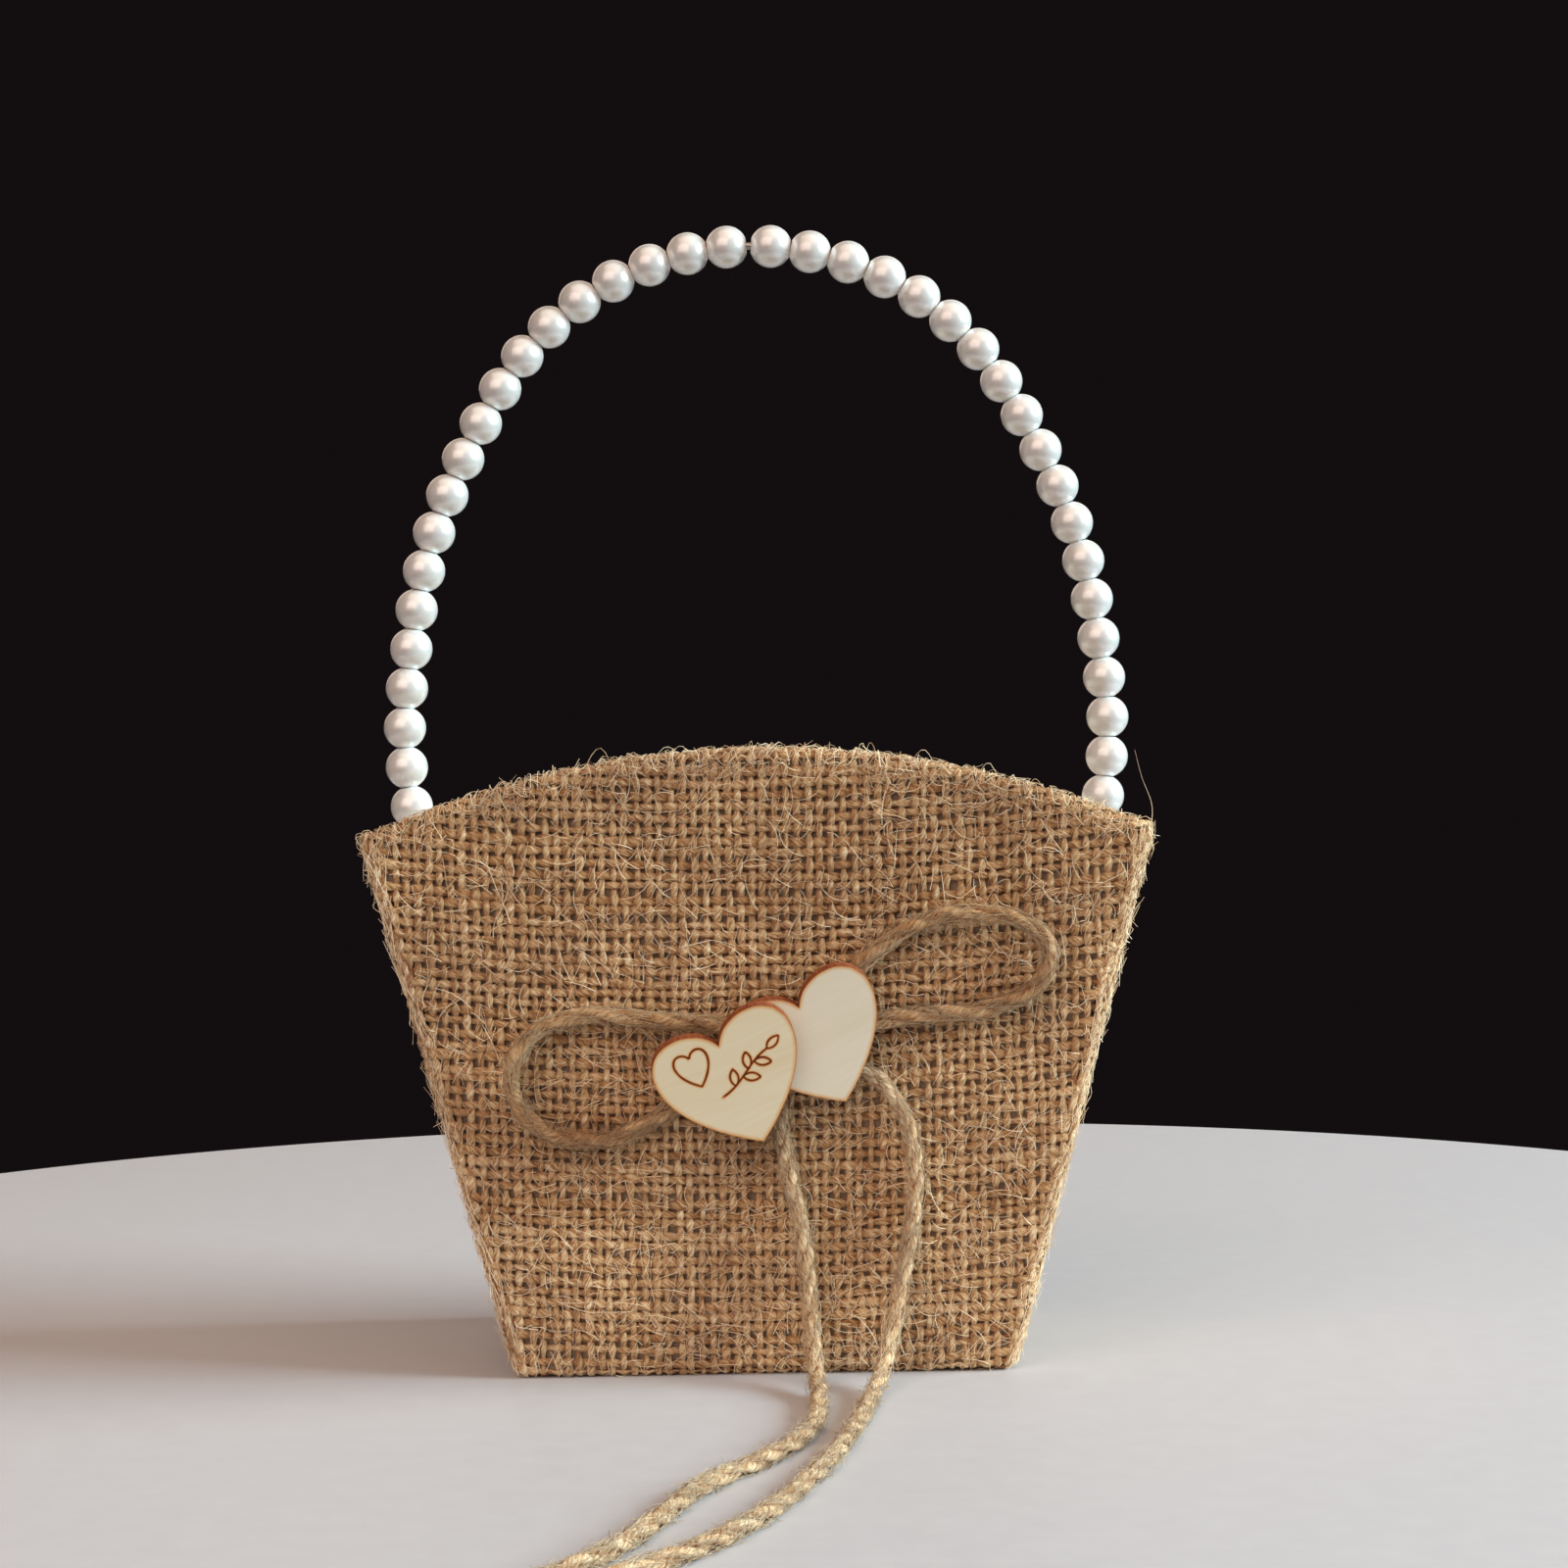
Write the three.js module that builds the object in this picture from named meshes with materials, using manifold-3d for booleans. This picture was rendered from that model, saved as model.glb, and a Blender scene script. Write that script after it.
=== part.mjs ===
// Flower girl basket: a flared burlap basket on card boards, a swinging wire handle threaded with
// faux pearls, and a twine bow with two plywood hearts on the front.
// Millimetres, +Z up, front towards -Y, origin at the centre of the resting face.

import * as THREE from 'three';
import * as BufferGeometryUtils from 'three/addons/utils/BufferGeometryUtils.js';
import Module from 'manifold-3d';

const wasm = await Module();
wasm.setup();

// ---- Driving dimensions -------------------------------------------------------------------

// Basket envelope, measured on the outside of the burlap.
const BASE_HALF_WIDTH = 46.5;
const BASE_HALF_DEPTH = 33;
const FLARE_X = 0.26;
const FLARE_Y = 0.088;
const CORNER_RADIUS = 2.5;
const SMALLEST_CORNER = 0.6;

// Rim: the front and back rise in an arc, the sides dip in one.
const RIM_PEAK = 116;
const RIM_ARC_RADIUS = 180;
const RIM_CORNER_X = 71;
const SIDE_RIM_LOW = 93.5;
const SIDE_ARC_RADIUS = 96;
const SIDE_CORNER_Z = 101.3;

// Wall layers, as horizontal distances in from the outside of the burlap.
const GAP = 0.3;
const BURLAP = 1.1;
const BOARD = 1.1;
const BOARD_OUT = BURLAP + GAP;
const BOARD_IN = BOARD_OUT + BOARD;
const FLAP = 0.9;
const FLAP_OUT = BOARD_IN + GAP;
const FLAP_IN = FLAP_OUT + FLAP;
const LINING = 0.5;
const LINING_OUT = FLAP_IN + GAP;
const LINING_IN = LINING_OUT + LINING;
const FLAP_DEPTH = 10;
const LINING_DROP = 2;
const SIDE_BOARD_END_GAP = 0.6;
const END_BOARD_TOP_GAP = 1.4;

// Floor layers, as heights. The cover hangs just clear of the resting face.
const COVER_FOOT_Z = 0.3;
const FLOOR_CORNER_RADIUS = 1;
const BASE_BOARD_Z = BURLAP + GAP;
const BASE_BOARD = 1.2;
const WALL_BOARD_Z = BASE_BOARD_Z + BASE_BOARD + GAP;
const LINING_FLOOR = 0.5;

// Handle: wire through the side walls at the pivot height, pearls on both legs.
const PIVOT_Z = 87.5;
const WIRE_RADIUS = 0.7;
const PEARL_RADIUS = 4;
const PEARL_BORE = 1.05;
const PEARL_HALF_LENGTH = 3.7;
const PEARL_PITCH = 7.7;
const PEARLS_PER_LEG = 19;
const APEX_GAP_HALF = 4.3;
const STOP_RADIUS = 1.5;
const STOP_LENGTH = 2;
const FERRULE_START_X = 71.3;
const FERRULE_LENGTH = 2.4;
const SLEEVE_BORE = 1;

// Eyelets, along the outward normal of the side walls.
const EYELET_BORE = 1.7;
const EYELET_BARREL = 2.2;
const EYELET_FLANGE = 3.1;
const EYELET_HOLE = 2.5;
const EYELET_FLANGE_THICKNESS = 0.5;
const EYELET_FLANGE_GAP = 0.2;

// Bow and hearts.
const TWINE_RADIUS = 1.5;
const TWINE_STEP = 6;
const KNOT_HALF = [4.5, 2.5, 4.6];
const KNOT_CENTRE = [5, 3.2, 61];
const HEART_THICKNESS = 2.8;
const HEART_TILT_DOWN = 0.12;
const HEART_TILT_SIDE = 0.09;
// A heart's tip: x, height up the face, and the distance of the heart's back from the face.
const REAR_TIP = [15.1, 52.8, 4];
const REAR_TURN = THREE.MathUtils.degToRad(25);
const FRONT_TIP = [0.1, 46.5, 7.75];
const FRONT_TURN = THREE.MathUtils.degToRad(23.5);

// How finely curves are divided.
const CORNER_SEGMENTS = 2;
const FRONT_RIM_SEGMENTS = 14;
const END_BOARD_SEGMENTS = 12;
const SIDE_RIM_SEGMENTS = 7;
const HEART_SEGMENTS = 6;
const EYELET_SIDES = 16;
const SLEEVE_SIDES = 10;
const PEARL_SIDES = 8;
const PEARL_ARC_STEPS = 5;
const WIRE_SIDES = 6;
const WIRE_STEPS = 150;
const TWINE_SIDES = 8;
const KNOT_SIDES = [12, 8];
const LENGTH_DIVISIONS = 1200;

// Cutting bodies reach past the walls: their top, and how far one overshoots another.
const CUTTER_TOP = 125;
const OVERSHOOT = 1;
const HOLE_CUTTER_LENGTH = 24;

// ---- Materials ----------------------------------------------------------------------------

const colours = {
  burlap: ['#b9935f', 0.95, 0],
  board: ['#8a7a63', 0.9, 0],
  lining: ['#efe8da', 0.9, 0],
  wire: ['#b8b6b0', 0.35, 0.9],
  eyelet: ['#b99a5a', 0.35, 0.9],
  pearl: ['#efe9e0', 0.2, 0.1],
  wood: ['#e2d3b0', 0.7, 0],
  twine: ['#b48c62', 0.95, 0],
};

function material(slot) {
  const [color, roughness, metalness] = colours[slot];
  return new THREE.MeshStandardMaterial({ color, roughness, metalness });
}

const basket = new THREE.Group();

function addNode(name, geometry, slot, parent = basket) {
  const mesh = new THREE.Mesh(geometry, material(slot));
  mesh.name = name;
  parent.add(mesh);
  return mesh;
}

// ---- Solids -------------------------------------------------------------------------------

function toSolid(geometry) {
  const plain = geometry.clone();
  plain.deleteAttribute('normal');
  plain.deleteAttribute('uv');
  const merged = BufferGeometryUtils.mergeVertices(plain);
  return new wasm.Manifold(new wasm.Mesh({
    numProp: 3,
    vertProperties: new Float32Array(merged.attributes.position.array),
    triVerts: new Uint32Array(merged.index.array),
  }));
}

function toGeometry(solid) {
  const mesh = solid.getMesh();
  const geometry = new THREE.BufferGeometry();
  geometry.setAttribute('position', new THREE.BufferAttribute(mesh.vertProperties, 3));
  geometry.setIndex(new THREE.BufferAttribute(mesh.triVerts, 1));
  geometry.computeVertexNormals();
  return geometry;
}

// Stand a flat section up in the named plane, with its thickness along the third axis.
const planes = {
  XZ: new THREE.Matrix4().set(1, 0, 0, 0, 0, 0, -1, 0, 0, 1, 0, 0, 0, 0, 0, 1),
  YZ: new THREE.Matrix4().set(0, 0, 1, 0, 1, 0, 0, 0, 0, 1, 0, 0, 0, 0, 0, 1),
};

function slab(shape, plane, halfLength, curveSegments) {
  const geometry = new THREE.ExtrudeGeometry(shape, {
    depth: 2 * halfLength,
    bevelEnabled: false,
    curveSegments,
  });
  geometry.translate(0, 0, -halfLength);
  geometry.applyMatrix4(planes[plane]);
  return geometry;
}

function roundedRectangle(halfWidth, halfDepth, radius) {
  const shape = new THREE.Shape();
  shape.moveTo(-halfWidth + radius, -halfDepth);
  shape.lineTo(halfWidth - radius, -halfDepth);
  shape.absarc(halfWidth - radius, -halfDepth + radius, radius, -Math.PI / 2, 0);
  shape.lineTo(halfWidth, halfDepth - radius);
  shape.absarc(halfWidth - radius, halfDepth - radius, radius, 0, Math.PI / 2);
  shape.lineTo(-halfWidth + radius, halfDepth);
  shape.absarc(-halfWidth + radius, halfDepth - radius, radius, Math.PI / 2, Math.PI);
  shape.lineTo(-halfWidth, -halfDepth + radius);
  shape.absarc(-halfWidth + radius, -halfDepth + radius, radius, Math.PI, 1.5 * Math.PI);
  return shape;
}

// The flared body of the basket, taken in by an inset all round, from one height to another.
function flaredBody(inset, fromZ, toZ) {
  const radius = Math.max(CORNER_RADIUS - inset, SMALLEST_CORNER);
  const section = roundedRectangle(BASE_HALF_WIDTH - inset, BASE_HALF_DEPTH - inset, radius);
  const geometry = new THREE.ExtrudeGeometry(section, {
    depth: toZ - fromZ,
    bevelEnabled: false,
    curveSegments: CORNER_SEGMENTS,
  });
  geometry.translate(0, 0, fromZ);
  const position = geometry.attributes.position;
  for (let i = 0; i < position.count; i += 1) {
    const z = position.getZ(i);
    position.setX(i, position.getX(i) + Math.sign(position.getX(i)) * FLARE_X * z);
    position.setY(i, position.getY(i) + Math.sign(position.getY(i)) * FLARE_Y * z);
  }
  return toSolid(geometry);
}

function frontRimZ(x) {
  return RIM_PEAK - RIM_ARC_RADIUS + Math.sqrt(RIM_ARC_RADIUS ** 2 - x ** 2);
}

function sideRimZ(y) {
  return SIDE_RIM_LOW + SIDE_ARC_RADIUS - Math.sqrt(SIDE_ARC_RADIUS ** 2 - y ** 2);
}

// Adds the rim arc of the front wall to a shape, from +halfWidth to -halfWidth.
function addFrontArc(shape, halfWidth, drop) {
  const start = Math.acos(halfWidth / RIM_ARC_RADIUS);
  shape.absarc(0, RIM_PEAK - RIM_ARC_RADIUS - drop, RIM_ARC_RADIUS, start, Math.PI - start);
}

// Half the depth of the basket at the rim corners, taken in by an inset.
function halfDepthAtCorner(inset) {
  return BASE_HALF_DEPTH + FLARE_Y * SIDE_CORNER_Z - inset;
}

// Adds the dipping rim arc of a side wall to a shape, from +halfDepth to -halfDepth.
function addSideArc(shape, halfDepth, drop) {
  const start = Math.acos(halfDepth / SIDE_ARC_RADIUS);
  shape.absarc(0, SIDE_RIM_LOW + SIDE_ARC_RADIUS - drop, SIDE_ARC_RADIUS,
    -start, Math.PI + start, true);
}

// Everything below the rim line, lowered by a drop. The sides' dip ends just inside the inset.
function belowRim(drop, inset = FLAP_IN) {
  const farX = 90;
  const farY = 60;
  const high = 140;
  const low = -5;
  const dipHalf = halfDepthAtCorner(inset) - GAP;
  const dipHalfHigh = dipHalf + FLARE_Y * (high - SIDE_CORNER_Z);
  const front = new THREE.Shape();
  front.moveTo(-farX, low);
  front.lineTo(farX, low);
  front.lineTo(farX, frontRimZ(RIM_CORNER_X) - drop);
  addFrontArc(front, RIM_CORNER_X, drop);
  front.lineTo(-farX, frontRimZ(RIM_CORNER_X) - drop);
  const side = new THREE.Shape();
  side.moveTo(-farY, low);
  side.lineTo(farY, low);
  side.lineTo(farY, high);
  side.lineTo(dipHalfHigh, high);
  addSideArc(side, dipHalf, drop);
  side.lineTo(-dipHalfHigh, high);
  side.lineTo(-farY, high);
  const underFront = toSolid(slab(front, 'XZ', farY, FRONT_RIM_SEGMENTS));
  const underSide = toSolid(slab(side, 'YZ', farX, SIDE_RIM_SEGMENTS));
  return underFront.intersect(underSide);
}

// A round cutter through both side walls at the eyelets, along each wall's outward normal.
const sideLean = Math.atan(FLARE_X);
const sideWallX = BASE_HALF_WIDTH + FLARE_X * PIVOT_Z - LINING_IN / 2;
const sideWallHalf = LINING_IN / 2 * Math.cos(sideLean);

function placeOnSideAxis(geometry, side) {
  geometry.rotateZ(-Math.PI / 2);
  geometry.rotateY(sideLean);
  geometry.translate(sideWallX, 0, PIVOT_Z);
  if (side < 0) {
    geometry.rotateZ(Math.PI);
  }
  return geometry;
}

function eyeletHole(side) {
  const cutter = new THREE.CylinderGeometry(
    EYELET_HOLE,
    EYELET_HOLE,
    HOLE_CUTTER_LENGTH,
    EYELET_SIDES,
  );
  return toSolid(placeOnSideAxis(cutter, side));
}

// ---- Walls and floor ----------------------------------------------------------------------

const holes = eyeletHole(1).add(eyeletHole(-1));

// Burlap cover: an outer skin that turns over the rim and ends as a flap inside the boards.
function coverSolid() {
  const withinBurlap = flaredBody(BURLAP, -OVERSHOOT, CUTTER_TOP);
  const withinFlap = flaredBody(FLAP_OUT, -2 * OVERSHOOT, CUTTER_TOP + OVERSHOOT);
  const boardSpace = withinBurlap.subtract(withinFlap);
  return flaredBody(0, COVER_FOOT_Z, CUTTER_TOP)
    .intersect(belowRim(0))
    .subtract(flaredBody(FLAP_IN, -OVERSHOOT, CUTTER_TOP + OVERSHOOT))
    .subtract(boardSpace.intersect(belowRim(BURLAP)))
    .subtract(withinBurlap.intersect(belowRim(FLAP_DEPTH)))
    .subtract(holes);
}

addNode('burlap_cover', toGeometry(coverSolid()), 'burlap');

// Lining: a cloth cup that hangs inside the walls, a little below the rim.
function liningSolid() {
  const floorZ = WALL_BOARD_Z;
  return flaredBody(LINING_OUT, floorZ, CUTTER_TOP)
    .subtract(flaredBody(LINING_IN, floorZ + LINING_FLOOR, CUTTER_TOP + OVERSHOOT))
    .intersect(belowRim(LINING_DROP, LINING_IN))
    .subtract(holes);
}

addNode('lining', toGeometry(liningSolid()), 'lining');

function floorPlate(name, inset, z, thickness, slot) {
  const halfWidth = BASE_HALF_WIDTH - inset;
  const halfDepth = BASE_HALF_DEPTH - inset;
  const shape = roundedRectangle(halfWidth, halfDepth, FLOOR_CORNER_RADIUS);
  const geometry = new THREE.ExtrudeGeometry(shape, {
    depth: thickness,
    bevelEnabled: false,
    curveSegments: CORNER_SEGMENTS,
  });
  geometry.translate(0, 0, z);
  addNode(name, geometry, slot);
}

floorPlate('burlap_base', BURLAP + GAP, 0, BURLAP, 'burlap');
floorPlate('base_board', BURLAP, BASE_BOARD_Z, BASE_BOARD, 'board');

// Front and back boards fit between the side boards. Their outline leans with the wall.
function endBoardGeometry(side) {
  const inset = BOARD_IN + GAP;
  const foot = BASE_HALF_WIDTH - inset + FLARE_X * WALL_BOARD_Z;
  const topHalf = RIM_CORNER_X - END_BOARD_TOP_GAP;
  const drop = BURLAP + GAP;
  const shape = new THREE.Shape();
  shape.moveTo(-foot, WALL_BOARD_Z);
  shape.lineTo(foot, WALL_BOARD_Z);
  addFrontArc(shape, topHalf, drop);
  const geometry = new THREE.ExtrudeGeometry(shape, {
    depth: BOARD,
    bevelEnabled: false,
    curveSegments: END_BOARD_SEGMENTS,
  });
  const near = BASE_HALF_DEPTH - BOARD_OUT;
  // The shape's height becomes Z and leans outwards, and the extrusion goes inwards.
  geometry.applyMatrix4(new THREE.Matrix4().set(
    1, 0, 0, 0,
    0, -FLARE_Y, 1, -near,
    0, 1, 0, 0,
    0, 0, 0, 1,
  ));
  if (side > 0) {
    geometry.rotateZ(Math.PI);
  }
  return flipIfInsideOut(geometry);
}

// A mirrored matrix turns the faces inwards, so the order of each triangle is put back.
function flipIfInsideOut(geometry) {
  const position = geometry.attributes.position;
  const a = new THREE.Vector3();
  const b = new THREE.Vector3();
  const c = new THREE.Vector3();
  let volume = 0;
  for (let i = 0; i < position.count; i += 3) {
    a.fromBufferAttribute(position, i);
    b.fromBufferAttribute(position, i + 1);
    c.fromBufferAttribute(position, i + 2);
    volume += a.dot(b.cross(c));
  }
  if (volume > 0) {
    return geometry;
  }
  for (let i = 0; i < position.count; i += 3) {
    a.fromBufferAttribute(position, i + 1);
    b.fromBufferAttribute(position, i + 2);
    position.setXYZ(i + 1, b.x, b.y, b.z);
    position.setXYZ(i + 2, a.x, a.y, a.z);
  }
  return geometry;
}

addNode('front_board', endBoardGeometry(-1), 'board');
addNode('back_board', endBoardGeometry(1), 'board');

// Side boards run the full depth and carry the eyelets.
function sideBoardGeometry(side) {
  const drop = BURLAP + GAP;
  const endInset = BOARD_OUT + SIDE_BOARD_END_GAP;
  const foot = BASE_HALF_DEPTH - endInset + FLARE_Y * WALL_BOARD_Z;
  const dipHalf = halfDepthAtCorner(FLAP_IN);
  const cornerZ = sideRimZ(dipHalf) - drop;
  const topHalf = BASE_HALF_DEPTH - endInset + FLARE_Y * cornerZ;
  const shape = new THREE.Shape();
  shape.moveTo(-foot, WALL_BOARD_Z);
  shape.lineTo(foot, WALL_BOARD_Z);
  shape.lineTo(topHalf, cornerZ);
  addSideArc(shape, dipHalf, drop);
  shape.lineTo(-topHalf, cornerZ);
  const geometry = new THREE.ExtrudeGeometry(shape, {
    depth: BOARD,
    bevelEnabled: false,
    curveSegments: SIDE_RIM_SEGMENTS,
  });
  const near = BASE_HALF_WIDTH - BOARD_OUT;
  // The shape's height becomes Z and leans outwards, and the extrusion goes inwards.
  geometry.applyMatrix4(new THREE.Matrix4().set(
    0, FLARE_X, -1, near,
    1, 0, 0, 0,
    0, 1, 0, 0,
    0, 0, 0, 1,
  ));
  if (side < 0) {
    geometry.rotateZ(Math.PI);
  }
  return toGeometry(toSolid(flipIfInsideOut(geometry)).subtract(holes));
}

addNode('side_board_left', sideBoardGeometry(-1), 'board');
addNode('side_board_right', sideBoardGeometry(1), 'board');

// Eyelets clamp the wall layers and let the handle wire turn.
function eyeletGeometry(side) {
  const outer = sideWallHalf + EYELET_FLANGE_GAP;
  const inner = -outer;
  const profile = [
    [EYELET_BORE, inner - EYELET_FLANGE_THICKNESS],
    [EYELET_FLANGE, inner - EYELET_FLANGE_THICKNESS],
    [EYELET_FLANGE, inner],
    [EYELET_BARREL, inner],
    [EYELET_BARREL, outer],
    [EYELET_FLANGE, outer],
    [EYELET_FLANGE, outer + EYELET_FLANGE_THICKNESS],
    [EYELET_BORE, outer + EYELET_FLANGE_THICKNESS],
    [EYELET_BORE, inner - EYELET_FLANGE_THICKNESS],
  ].map(([radius, along]) => new THREE.Vector2(radius, along));
  return placeOnSideAxis(new THREE.LatheGeometry(profile, EYELET_SIDES), side);
}

addNode('eyelet_left', eyeletGeometry(-1), 'eyelet');
addNode('eyelet_right', eyeletGeometry(1), 'eyelet');

// ---- Handle -------------------------------------------------------------------------------

// Half of the handle's centre line in the XZ plane, from the apex to the end outside the wall.
const halfHandle = [
  [0, 213.6], [13.5, 211.9], [26.7, 207], [36.4, 200.7], [44.8, 192.3], [51.2, 182.4],
  [56.6, 172.2], [61.2, 161.4], [64.6, 149.6], [67, 135.5], [68.4, 121], [67.3, 105.5],
  [65.7, 99.6], [63.6, 94.3], [61.9, 90.5], [61.8, 88.6], [63.1, 87.55], [66.6, PIVOT_Z],
  [70, PIVOT_Z], [FERRULE_START_X + FERRULE_LENGTH - GAP, PIVOT_Z],
];
const handlePoints = [
  ...halfHandle.slice(1).reverse().map(([x, z]) => new THREE.Vector3(-x, 0, z)),
  ...halfHandle.map(([x, z]) => new THREE.Vector3(x, 0, z)),
];
const handleCurve = new THREE.CatmullRomCurve3(handlePoints, false, 'centripetal');
handleCurve.arcLengthDivisions = LENGTH_DIVISIONS;
const handleLength = handleCurve.getLength();

// A full circle in a shape gets two points for each of its curve segments.
function tube(curve, radius, sides, steps) {
  const section = new THREE.Shape();
  section.absarc(0, 0, radius, 0, 2 * Math.PI);
  return new THREE.ExtrudeGeometry(section, {
    extrudePath: curve,
    steps,
    curveSegments: sides / 2,
    bevelEnabled: false,
  });
}

addNode('handle_wire', tube(handleCurve, WIRE_RADIUS, WIRE_SIDES, WIRE_STEPS), 'wire');

// A short sleeve or a bead on the wire, turned from a closed profile around the wire's axis.
function threadOnWire(name, geometry, along, slot) {
  const fraction = 0.5 + along / handleLength;
  const mesh = addNode(name, geometry, slot);
  mesh.position.copy(handleCurve.getPointAt(fraction));
  mesh.quaternion.setFromUnitVectors(
    new THREE.Vector3(0, 1, 0),
    handleCurve.getTangentAt(fraction),
  );
}

function pearlGeometry() {
  const mouth = Math.acos(PEARL_HALF_LENGTH / PEARL_RADIUS);
  const profile = [new THREE.Vector2(PEARL_BORE, -PEARL_HALF_LENGTH)];
  for (let i = 0; i <= PEARL_ARC_STEPS; i += 1) {
    const angle = mouth + (Math.PI - 2 * mouth) * (i / PEARL_ARC_STEPS);
    profile.push(new THREE.Vector2(
      PEARL_RADIUS * Math.sin(angle),
      -PEARL_RADIUS * Math.cos(angle),
    ));
  }
  profile.push(new THREE.Vector2(PEARL_BORE, PEARL_HALF_LENGTH));
  profile.push(profile[0].clone());
  return new THREE.LatheGeometry(profile, PEARL_SIDES);
}

function sleeveGeometry(length) {
  const profile = [
    [SLEEVE_BORE, -length / 2], [STOP_RADIUS, -length / 2],
    [STOP_RADIUS, length / 2], [SLEEVE_BORE, length / 2], [SLEEVE_BORE, -length / 2],
  ].map(([radius, along]) => new THREE.Vector2(radius, along));
  return new THREE.LatheGeometry(profile, SLEEVE_SIDES);
}

const lastPearl = APEX_GAP_HALF + (PEARLS_PER_LEG - 1) * PEARL_PITCH;
for (const [label, side] of [['left', -1], ['right', 1]]) {
  for (let i = 0; i < PEARLS_PER_LEG; i += 1) {
    const number = String(i + 1).padStart(2, '0');
    const along = side * (APEX_GAP_HALF + i * PEARL_PITCH);
    threadOnWire(`pearl_${label}_${number}`, pearlGeometry(), along, 'pearl');
  }
  const stopAt = lastPearl + PEARL_HALF_LENGTH + GAP + STOP_LENGTH / 2;
  threadOnWire(`pearl_stop_${label}`, sleeveGeometry(STOP_LENGTH), side * stopAt, 'wire');
  const ferrule = sleeveGeometry(FERRULE_LENGTH);
  ferrule.rotateZ(-Math.PI / 2);
  const mesh = addNode(`wire_ferrule_${label}`, ferrule, 'wire');
  mesh.position.set(side * (FERRULE_START_X + FERRULE_LENGTH / 2), 0, PIVOT_Z);
}

// ---- Bow ----------------------------------------------------------------------------------

// A point given by its x, its distance out from the front face, and its height.
function frontPoint([x, out, z]) {
  return new THREE.Vector3(x, -(BASE_HALF_DEPTH + FLARE_Y * z) - out, z);
}

const loopLeft = [
  [0.2, 3, 64.4], [-4.5, 2.8, 65.4], [-9.1, 2.6, 66], [-16.4, 2.4, 66.6], [-23.7, 2.4, 67.3],
  [-31, 2.6, 67.8], [-36.6, 3, 67], [-41, 3.4, 64.9], [-44, 3.6, 61.7], [-45.5, 3.6, 57.6],
  [-45.2, 3.5, 53.6], [-43.3, 3.2, 49.8], [-39.9, 2.8, 46.9], [-35.1, 2.4, 45],
  [-29.9, 2.2, 44.6], [-25.2, 2.2, 45.6], [-21, 2.2, 47.6], [-16.7, 2.3, 50.4],
  [-11.5, 2.4, 53.6], [-6, 2.7, 56.8], [0.4, 3, 59.9],
];

const loopRight = [
  [8.9, 3, 64.4], [12.4, 2.8, 68.8], [16, 2.6, 73.4], [19.3, 2.5, 77], [23, 2.4, 80.2],
  [27.6, 2.5, 82.9], [32.4, 2.8, 84.7], [37.3, 3.2, 85.5], [42.1, 3.6, 85.4],
  [46.7, 3.8, 84.4], [50.4, 3.8, 82.3], [52.6, 3.7, 79.3], [52.8, 3.5, 76],
  [51.1, 3.1, 72.8], [47.6, 2.7, 70.2], [43.4, 2.4, 68.4], [38.7, 2.2, 67.4],
  [33.3, 2.2, 67.1], [27.6, 2.2, 66.8], [21.8, 2.3, 65.8], [16, 2.6, 63.9], [10.2, 3, 61.2],
];

// Tails: out of the knot, down the front, and forwards along the surface the basket stands on.
const tailLeft = [
  [3.2, -41, 56.2], [3.2, -40.3, 52.5], [3.5, -39.5, 47.5], [4.1, -39.1, 42.2],
  [5.1, -38.8, 37], [6.2, -38.7, 32], [7.1, -38.7, 27], [7.7, -38.9, 21.5],
  [8.1, -39.5, 16], [8.5, -41.4, 10.6], [8.9, -46, 6], [9.2, -53, 3], [9.4, -61.5, 1.8],
  [9.2, -71, 1.6], [7.9, -86, 1.6], [4.2, -99.5, 1.6], [-0.9, -111, 1.6],
  [-6.2, -121, 1.6], [-10.7, -131, 1.6], [-14.2, -143, 1.6], [-17.6, -155, 1.6],
  [-21.6, -166.5, 1.6], [-26.6, -176.5, 1.6], [-33, -187, 1.6], [-40, -197.5, 1.6],
  [-46, -209, 1.6], [-50, -221, 1.6],
];

const tailRight = [
  [9.4, -41, 57.3], [14, -40.5, 57.8], [18.4, -40.3, 56.9], [21.9, -40.1, 54.6],
  [24.6, -39.8, 51.2], [26.6, -39.5, 47], [27.7, -39.2, 42], [28, -38.9, 36.5],
  [27.5, -38.7, 31], [26.8, -38.6, 26], [25.8, -38.6, 21], [24.7, -38.9, 15.8],
  [23.6, -40.3, 10.8], [22.2, -44.5, 6.4], [20.6, -51.5, 3.2], [18.9, -61, 1.8],
  [17.2, -72.5, 1.6], [15.7, -83, 1.6], [13.9, -93, 1.6], [12, -103.5, 1.6],
  [9.8, -113.5, 1.6], [7.4, -123, 1.6], [4.6, -133, 1.6], [0.6, -145.5, 1.6],
  [-4.2, -157, 1.6], [-9.6, -167, 1.6], [-15.6, -175.5, 1.6], [-22.5, -184, 1.6],
  [-29, -193.5, 1.6], [-34, -204, 1.6], [-37.5, -215.5, 1.6],
];

function addTwine(name, points) {
  const curve = new THREE.CatmullRomCurve3(points, false, 'centripetal');
  const steps = Math.round(curve.getLength() / TWINE_STEP);
  addNode(name, tube(curve, TWINE_RADIUS, TWINE_SIDES, steps), 'twine');
}

addTwine('bow_loop_left', loopLeft.map(frontPoint));
addTwine('bow_loop_right', loopRight.map(frontPoint));
addTwine('bow_tail_left', tailLeft.map((p) => new THREE.Vector3(...p)));
addTwine('bow_tail_right', tailRight.map((p) => new THREE.Vector3(...p)));

const knot = addNode('bow_knot', new THREE.SphereGeometry(1, ...KNOT_SIDES), 'twine');
knot.geometry.scale(...KNOT_HALF);
knot.position.copy(frontPoint(KNOT_CENTRE));

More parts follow.
